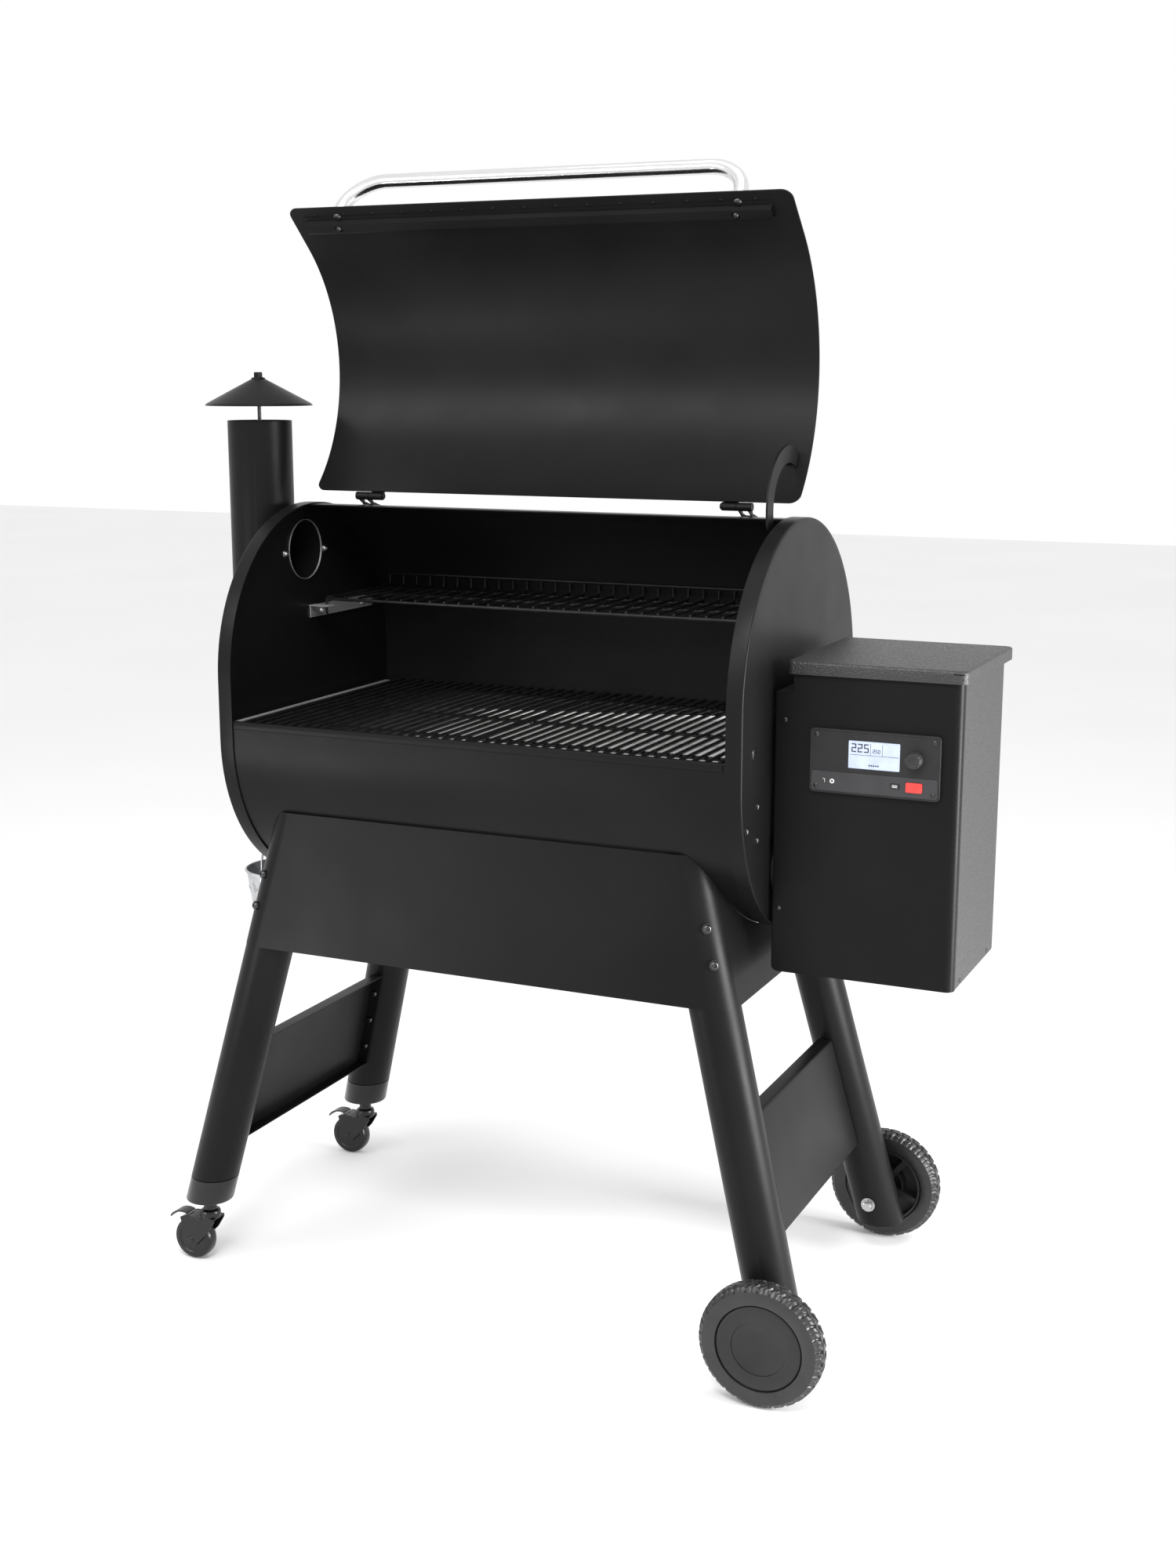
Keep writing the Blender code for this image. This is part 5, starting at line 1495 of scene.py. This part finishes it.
def tread_depth(turn, across):
    """How deep the tread is cut at a turn, counted in blocks, and a place across it from -1 to 1."""
    wide = np.abs(across)
    ring = 0.36 + 0.10 * triangle(turn + 0.25 * np.sign(across))
    grooves = near_line(wide - ring, 0.035, 0.035)
    middle = turn + 0.30 * triangle(0.5 + across * 0.9)
    outer = turn + 0.5 + 0.35 * (wide - 0.4) * np.sign(across)
    centre_cut = near_line(middle - np.round(middle), 0.07, 0.06) * (wide < ring)
    outer_cut = near_line(outer - np.round(outer), 0.085, 0.06) * (wide >= ring)
    sipe = outer + 0.5
    sipe_cut = 0.55 * near_line(sipe - np.round(sipe), 0.02, 0.04) * (wide > 0.62)
    return np.maximum.reduce([grooves, centre_cut, outer_cut, sipe_cut])


def make_tyre(name, centre, radius, half, rim):
    turns = np.arange(TREAD_BLOCKS * TREAD_STEPS) / TREAD_STEPS
    edge = half - 0.0055
    across = np.linspace(-1, 1, 41)
    wall = [(rim, half - 0.0030), (rim + 0.0012, half - 0.0006), (rim + 0.0030, half)]
    wall += [(radius - 0.0140, half), (radius - 0.0080, half - 0.0008)]
    section = [(r, -y, None) for r, y in wall]
    section += [(radius - 0.0028 * abs(a) ** 6 - 0.0006 * a * a, a * edge, a) for a in across]
    section += [(r, y, None) for r, y in reversed(wall)]
    angles = 2 * np.pi * turns / TREAD_BLOCKS
    rows = []
    for r, y, a in section:
        depth = np.zeros_like(turns) if a is None else TREAD_DEPTH * tread_depth(
            turns, np.full_like(turns, a),
        )
        reach = r - depth
        xs, zs = centre[0] + reach * np.cos(angles), centre[2] + reach * np.sin(angles)
        rows.append([(x, centre[1] + y, z) for x, z in zip(xs, zs)])
    mesh = grid(rows, wrap_rows=True, wrap_columns=True)
    piece(f"tyre_tread_{name}", mesh, RUBBER, f"wheel_{name}", f"tyre_{name}", sharp=38)


def make_hub(name, centre, side_y, rim, half):
    outward = (0, side_y, 0)
    face = half - 0.0004
    dish = [(0.039 * i / 14, face - 0.0088 + 0.0066 * (i / 14) ** 2.2) for i in range(15)]
    profile = dish + [
        (0.0396, face - 0.0005), (0.0406, face), (0.0570, face), (0.0590, face - 0.0003),
        (0.0606, face - 0.0012),
    ]
    profile += [
        (0.0612, face - 0.0030), (rim - 0.0004, face - 0.0032), (rim - 0.0002, -half + 0.0026),
        (rim - 0.0010, -half + 0.0016),
    ]
    profile += [
        (rim - 0.0040, -half + 0.0016), (rim - 0.0046, -half + 0.0030), (rim - 0.0052, face - 0.0110),
        (0.0110, face - 0.0120),
    ]
    profile += [
        (0.0110, -half + 0.0040), (0.0066, -half + 0.0040), (0.0066, face - 0.0110), (0, face - 0.0110),
    ]
    parts = [lathe(profile, centre, outward, 96, closed=False)]
    ends = sorted((centre[1] + side_y * (-half + 0.0050), centre[1] + side_y * (face - 0.0105)))
    for i in range(5):
        spoke = box((0.0095, ends[0], -0.0045), (rim - 0.0045, ends[1], 0.0045))
        spoke.transform(
            Matrix.Translation((centre[0], 0, centre[2])) @ Matrix.Rotation(math.radians(72 * i + 20), 4, "Y")
        )
        parts.append(spoke)
    hoop = lathe(
        [(0.030, -half + 0.0075), (0.0325, -half + 0.0075), (0.0325, face - 0.0105), (0.030, face - 0.0105)],
        centre, outward, 64,
    )
    parts.append(hoop)
    piece(
        f"hub_moulding_{name}", merged(parts), PLASTIC, f"wheel_{name}", f"hub_{name}",
        sharp=30,
    )


def make_wheels():
    for name, side_y in (("front", -1), ("rear", 1)):
        low, high = local_box(f"tyre_{name}")
        centre = (low + high) / 2
        radius = (high.z - low.z) / 2
        half = (high.y - low.y) / 2
        rim = 0.0620
        make_tyre(name, centre, radius, half, rim)
        make_hub(name, centre, side_y, rim, half)
        axle_low, axle_high = local_box(f"axle_{name}")
        inner = axle_low.y if side_y > 0 else axle_high.y
        outer = axle_high.y if side_y > 0 else axle_low.y
        x, leg_y = leg_centre(centre.z)
        nut = side_y * (leg_y - LEG_R - 0.0012)
        parts = [rod((centre.x, inner, centre.z), (centre.x, outer, centre.z), 0.0058, sides=32)]
        parts.append(
            lathe(
                [(0.0050, 0), (0.0112, 0), (0.0112, 0.0014), (0.0050, 0.0014)], (centre.x, nut, centre.z),
                (0, -side_y, 0), 40,
            )
        )
        parts.append(
            rod(
                (centre.x, nut - side_y * 0.0014, centre.z), (centre.x, nut - side_y * 0.0075, centre.z),
                0.0092, 0.0088, sides=6,
            )
        )
        parts.append(
            lathe(
                [(0.0050, 0.0074), (0.0074, 0.0074), (0.0066, 0.0100), (0.0050, 0.0106)],
                (centre.x, nut, centre.z), (0, -side_y, 0), 32,
            )
        )
        piece(f"axle_bolt_{name}", merged(parts), ZINC, "cart", f"axle_{name}")


def make_casters():
    for name, side_y in (("front", -1), ("rear", 1)):
        hub = local_point(f"caster_roll_{name}")
        stem = local_point(f"caster_swivel_{name}")
        leg_end = local_box(f"leg_{'front' if side_y < 0 else 'rear'}_left")[0].z
        parts = [rod((stem.x, stem.y, 0.068), (stem.x, stem.y, leg_end + 0.013), 0.0048, sides=24)]
        collar = [
            (0.0046, 0.0730), (0.0150, 0.0730), (0.0162, 0.0760), (0.0162, 0.0830), (0.0150, 0.0860),
            (0.0105, 0.0880), (0.0100, leg_end - 0.0006), (0.0046, leg_end - 0.0006),
        ]
        parts.append(lathe(collar, (stem.x, stem.y, 0), (0, 0, 1), 48))
        outline = arc((hub.x, hub.z), 0.0125, 150, 330, 12) + [
            (stem.x + 0.004, 0.052), (stem.x + 0.0150, 0.0700), (stem.x + 0.0150, 0.0755),
        ]
        outline += arc((hub.x, hub.z), 0.0400, 70, 118, 8)
        for shift in (-0.0142, 0.0142):
            parts.append(plate([outline], 0.0026, XZ_PLANE, -hub.y + shift))
        hood = arc((hub.x, hub.z), 0.0385, 118, 62, 10) + [
            (stem.x - 0.012, 0.0742), (stem.x + 0.0150, 0.0742),
        ]
        rows = [[(x, hub.y + shift, z) for x, z in hood] for shift in (-0.0152, 0.0152)]
        parts.append(solid(grid(rows), 0.0024, 0.0))
        parts.append(rod((hub.x, hub.y - 0.0166, hub.z), (hub.x, hub.y + 0.0166, hub.z), 0.0038, sides=24))
        for side in (-1, 1):
            parts.append(
                lathe(
                    [(0, 0.0026), (0.0050, 0.0020), (0.0062, 0.0004), (0.0062, -0.0006), (0, -0.0006)],
                    (hub.x, hub.y + side * 0.0152, hub.z), (0, side, 0), 32, False,
                )
            )
        piece(
            f"caster_yoke_{name}", merged(parts), GLOSS_PLASTIC, f"caster_{name}",
            f"caster_fork_{name}", bevel=0.0005, sharp=32,
        )
        profile = [
            (0.0042, 0.0112), (0.0080, 0.0114), (0.0095, 0.0098), (0.0225, 0.0098), (0.0240, 0.0112),
            (0.0285, 0.0112),
        ]
        profile += [(0.0318, 0.0102), (0.0334, 0.0075), (0.0340, 0.0030)]
        profile += [(radius, -height) for radius, height in reversed(profile)]
        piece(
            f"caster_tread_{name}", lathe(profile, hub, (0, side_y, 0), 64), GLOSS_PLASTIC, f"roller_{name}",
            f"caster_wheel_{name}", sharp=30,
        )
        pivot = local_point(f"brake_press_{name}")
        pedal = [
            (0.0000, 0.0018), (-0.0100, 0.0032), (-0.0200, 0.0016), (-0.0280, -0.0028), (-0.0325, -0.0085),
        ]
        pedal = [(pivot.x + u, pivot.z + v) for u, v in pedal]
        rows = [[(x, hub.y + shift, z) for x, z in smooth(pedal, 5)] for shift in (-0.0112, 0.0112)]
        piece(
            f"brake_lever_{name}", solid(grid(rows), 0.0024, 0.0), GLOSS_PLASTIC, f"brake_{name}",
            f"brake_pedal_{name}", bevel=0.0007,
        )


def smooth(points, between):
    """Points on a Catmull-Rom curve through the given ones."""
    ends = [points[0]] + list(points) + [points[-1]]
    out = []
    for i in range(1, len(ends) - 2):
        p0, p1, p2, p3 = (Vector(p) for p in ends[i - 1 : i + 3])
        for j in range(between):
            t = j / between
            out.append(
                tuple(
                    0.5 * (
                        2 * p1 + (p2 - p0) * t + (2 * p0 - 5 * p1 + 4 * p2 - p3) * t**2 + (3 * p1 - p0 - 3 * p2 + p3) * t**3
                    )
                )
            )
    return out + [tuple(points[-1])]


def make_bucket():
    low, high = local_box("grease_bucket")
    centre = Vector(((low.x + high.x) / 2, (low.y + high.y) / 2, 0))
    rim_r = (high.x - low.x) / 2
    top, base = high.z, low.z
    wall_r, foot_r = rim_r - 0.0020, 0.0488
    slope = (wall_r - foot_r) / (top - base)

    def outside(z):
        return foot_r + slope * (z - base)

    profile = [(0, base + 0.0030), (foot_r - 0.0040, base + 0.0030), (foot_r - 0.0022, base + 0.0040)]
    profile += [(outside(top) - 0.0012, top - 0.0012)]
    profile += [
        (rim_r - 0.0022 + 0.0021 * math.cos(a), top - 0.0021 + 0.0021 * math.sin(a))
        for a in [math.radians(120 - 240 * i / 10) for i in range(11)]
    ]
    for z in (top - 0.030, base + 0.036):
        bead = [
            (outside(z) + 0.0010 * math.cos(a), z + 0.0018 * math.sin(a))
            for a in [math.radians(90 - 180 * i / 6) for i in range(7)]
        ]
        profile += bead
    profile += [
        (outside(base + 0.004), base + 0.004), (foot_r - 0.0002, base), (foot_r - 0.0030, base),
        (foot_r - 0.0040, base + 0.0016), (0, base + 0.0016),
    ]
    shell = lathe(profile, centre, (0, 0, 1), 72, closed=False)
    bail_low, bail_high = local_box("bucket_bail")
    ear_z = local_point("bucket_tilt").z
    ears = []
    for side in (-1, 1):
        y = centre.y + side * (rim_r - 0.0010)
        ears.append(
            lathe(
                [(0.0026, -0.0012), (0.0026, 0.0008), (0.0085, 0.0008), (0.0090, 0.0002), (0.0090, -0.0012)],
                (centre.x, y - side * 0.0016, ear_z), (0, side, 0), 32,
            )
        )
    piece(
        "bucket_pressing", merged([shell] + ears), GALVANISED, "bucket", "grease_bucket",
        sharp=40,
    )
    arch_r = (bail_high.y - bail_low.y) / 2 - 0.00175
    shoulder = bail_high.z - 0.00175 - arch_r
    arch = arc((centre.y, shoulder), arch_r, 0, 180, 40)
    inner = rim_r - 0.011
    loop = [
        (centre.y + inner, ear_z), (centre.y + arch_r - 0.003, ear_z), (centre.y + arch_r, ear_z + 0.003),
    ] + arch
    loop += [
        (centre.y - arch_r, ear_z + 0.003), (centre.y - arch_r + 0.003, ear_z), (centre.y - inner, ear_z),
    ]
    piece(
        "bail_wire", tube([(centre.x, y, z) for y, z in loop], 0.0017, 14), GALVANISED, "bail",
        "bucket_bail",
    )


make_grates()
make_rack()
make_inside()
make_chimney()
make_hopper()
make_hopper_lid()
make_controller()
make_back()
make_legs()
make_skirts()
make_side_panels()
make_wheels()
make_casters()
make_bucket()
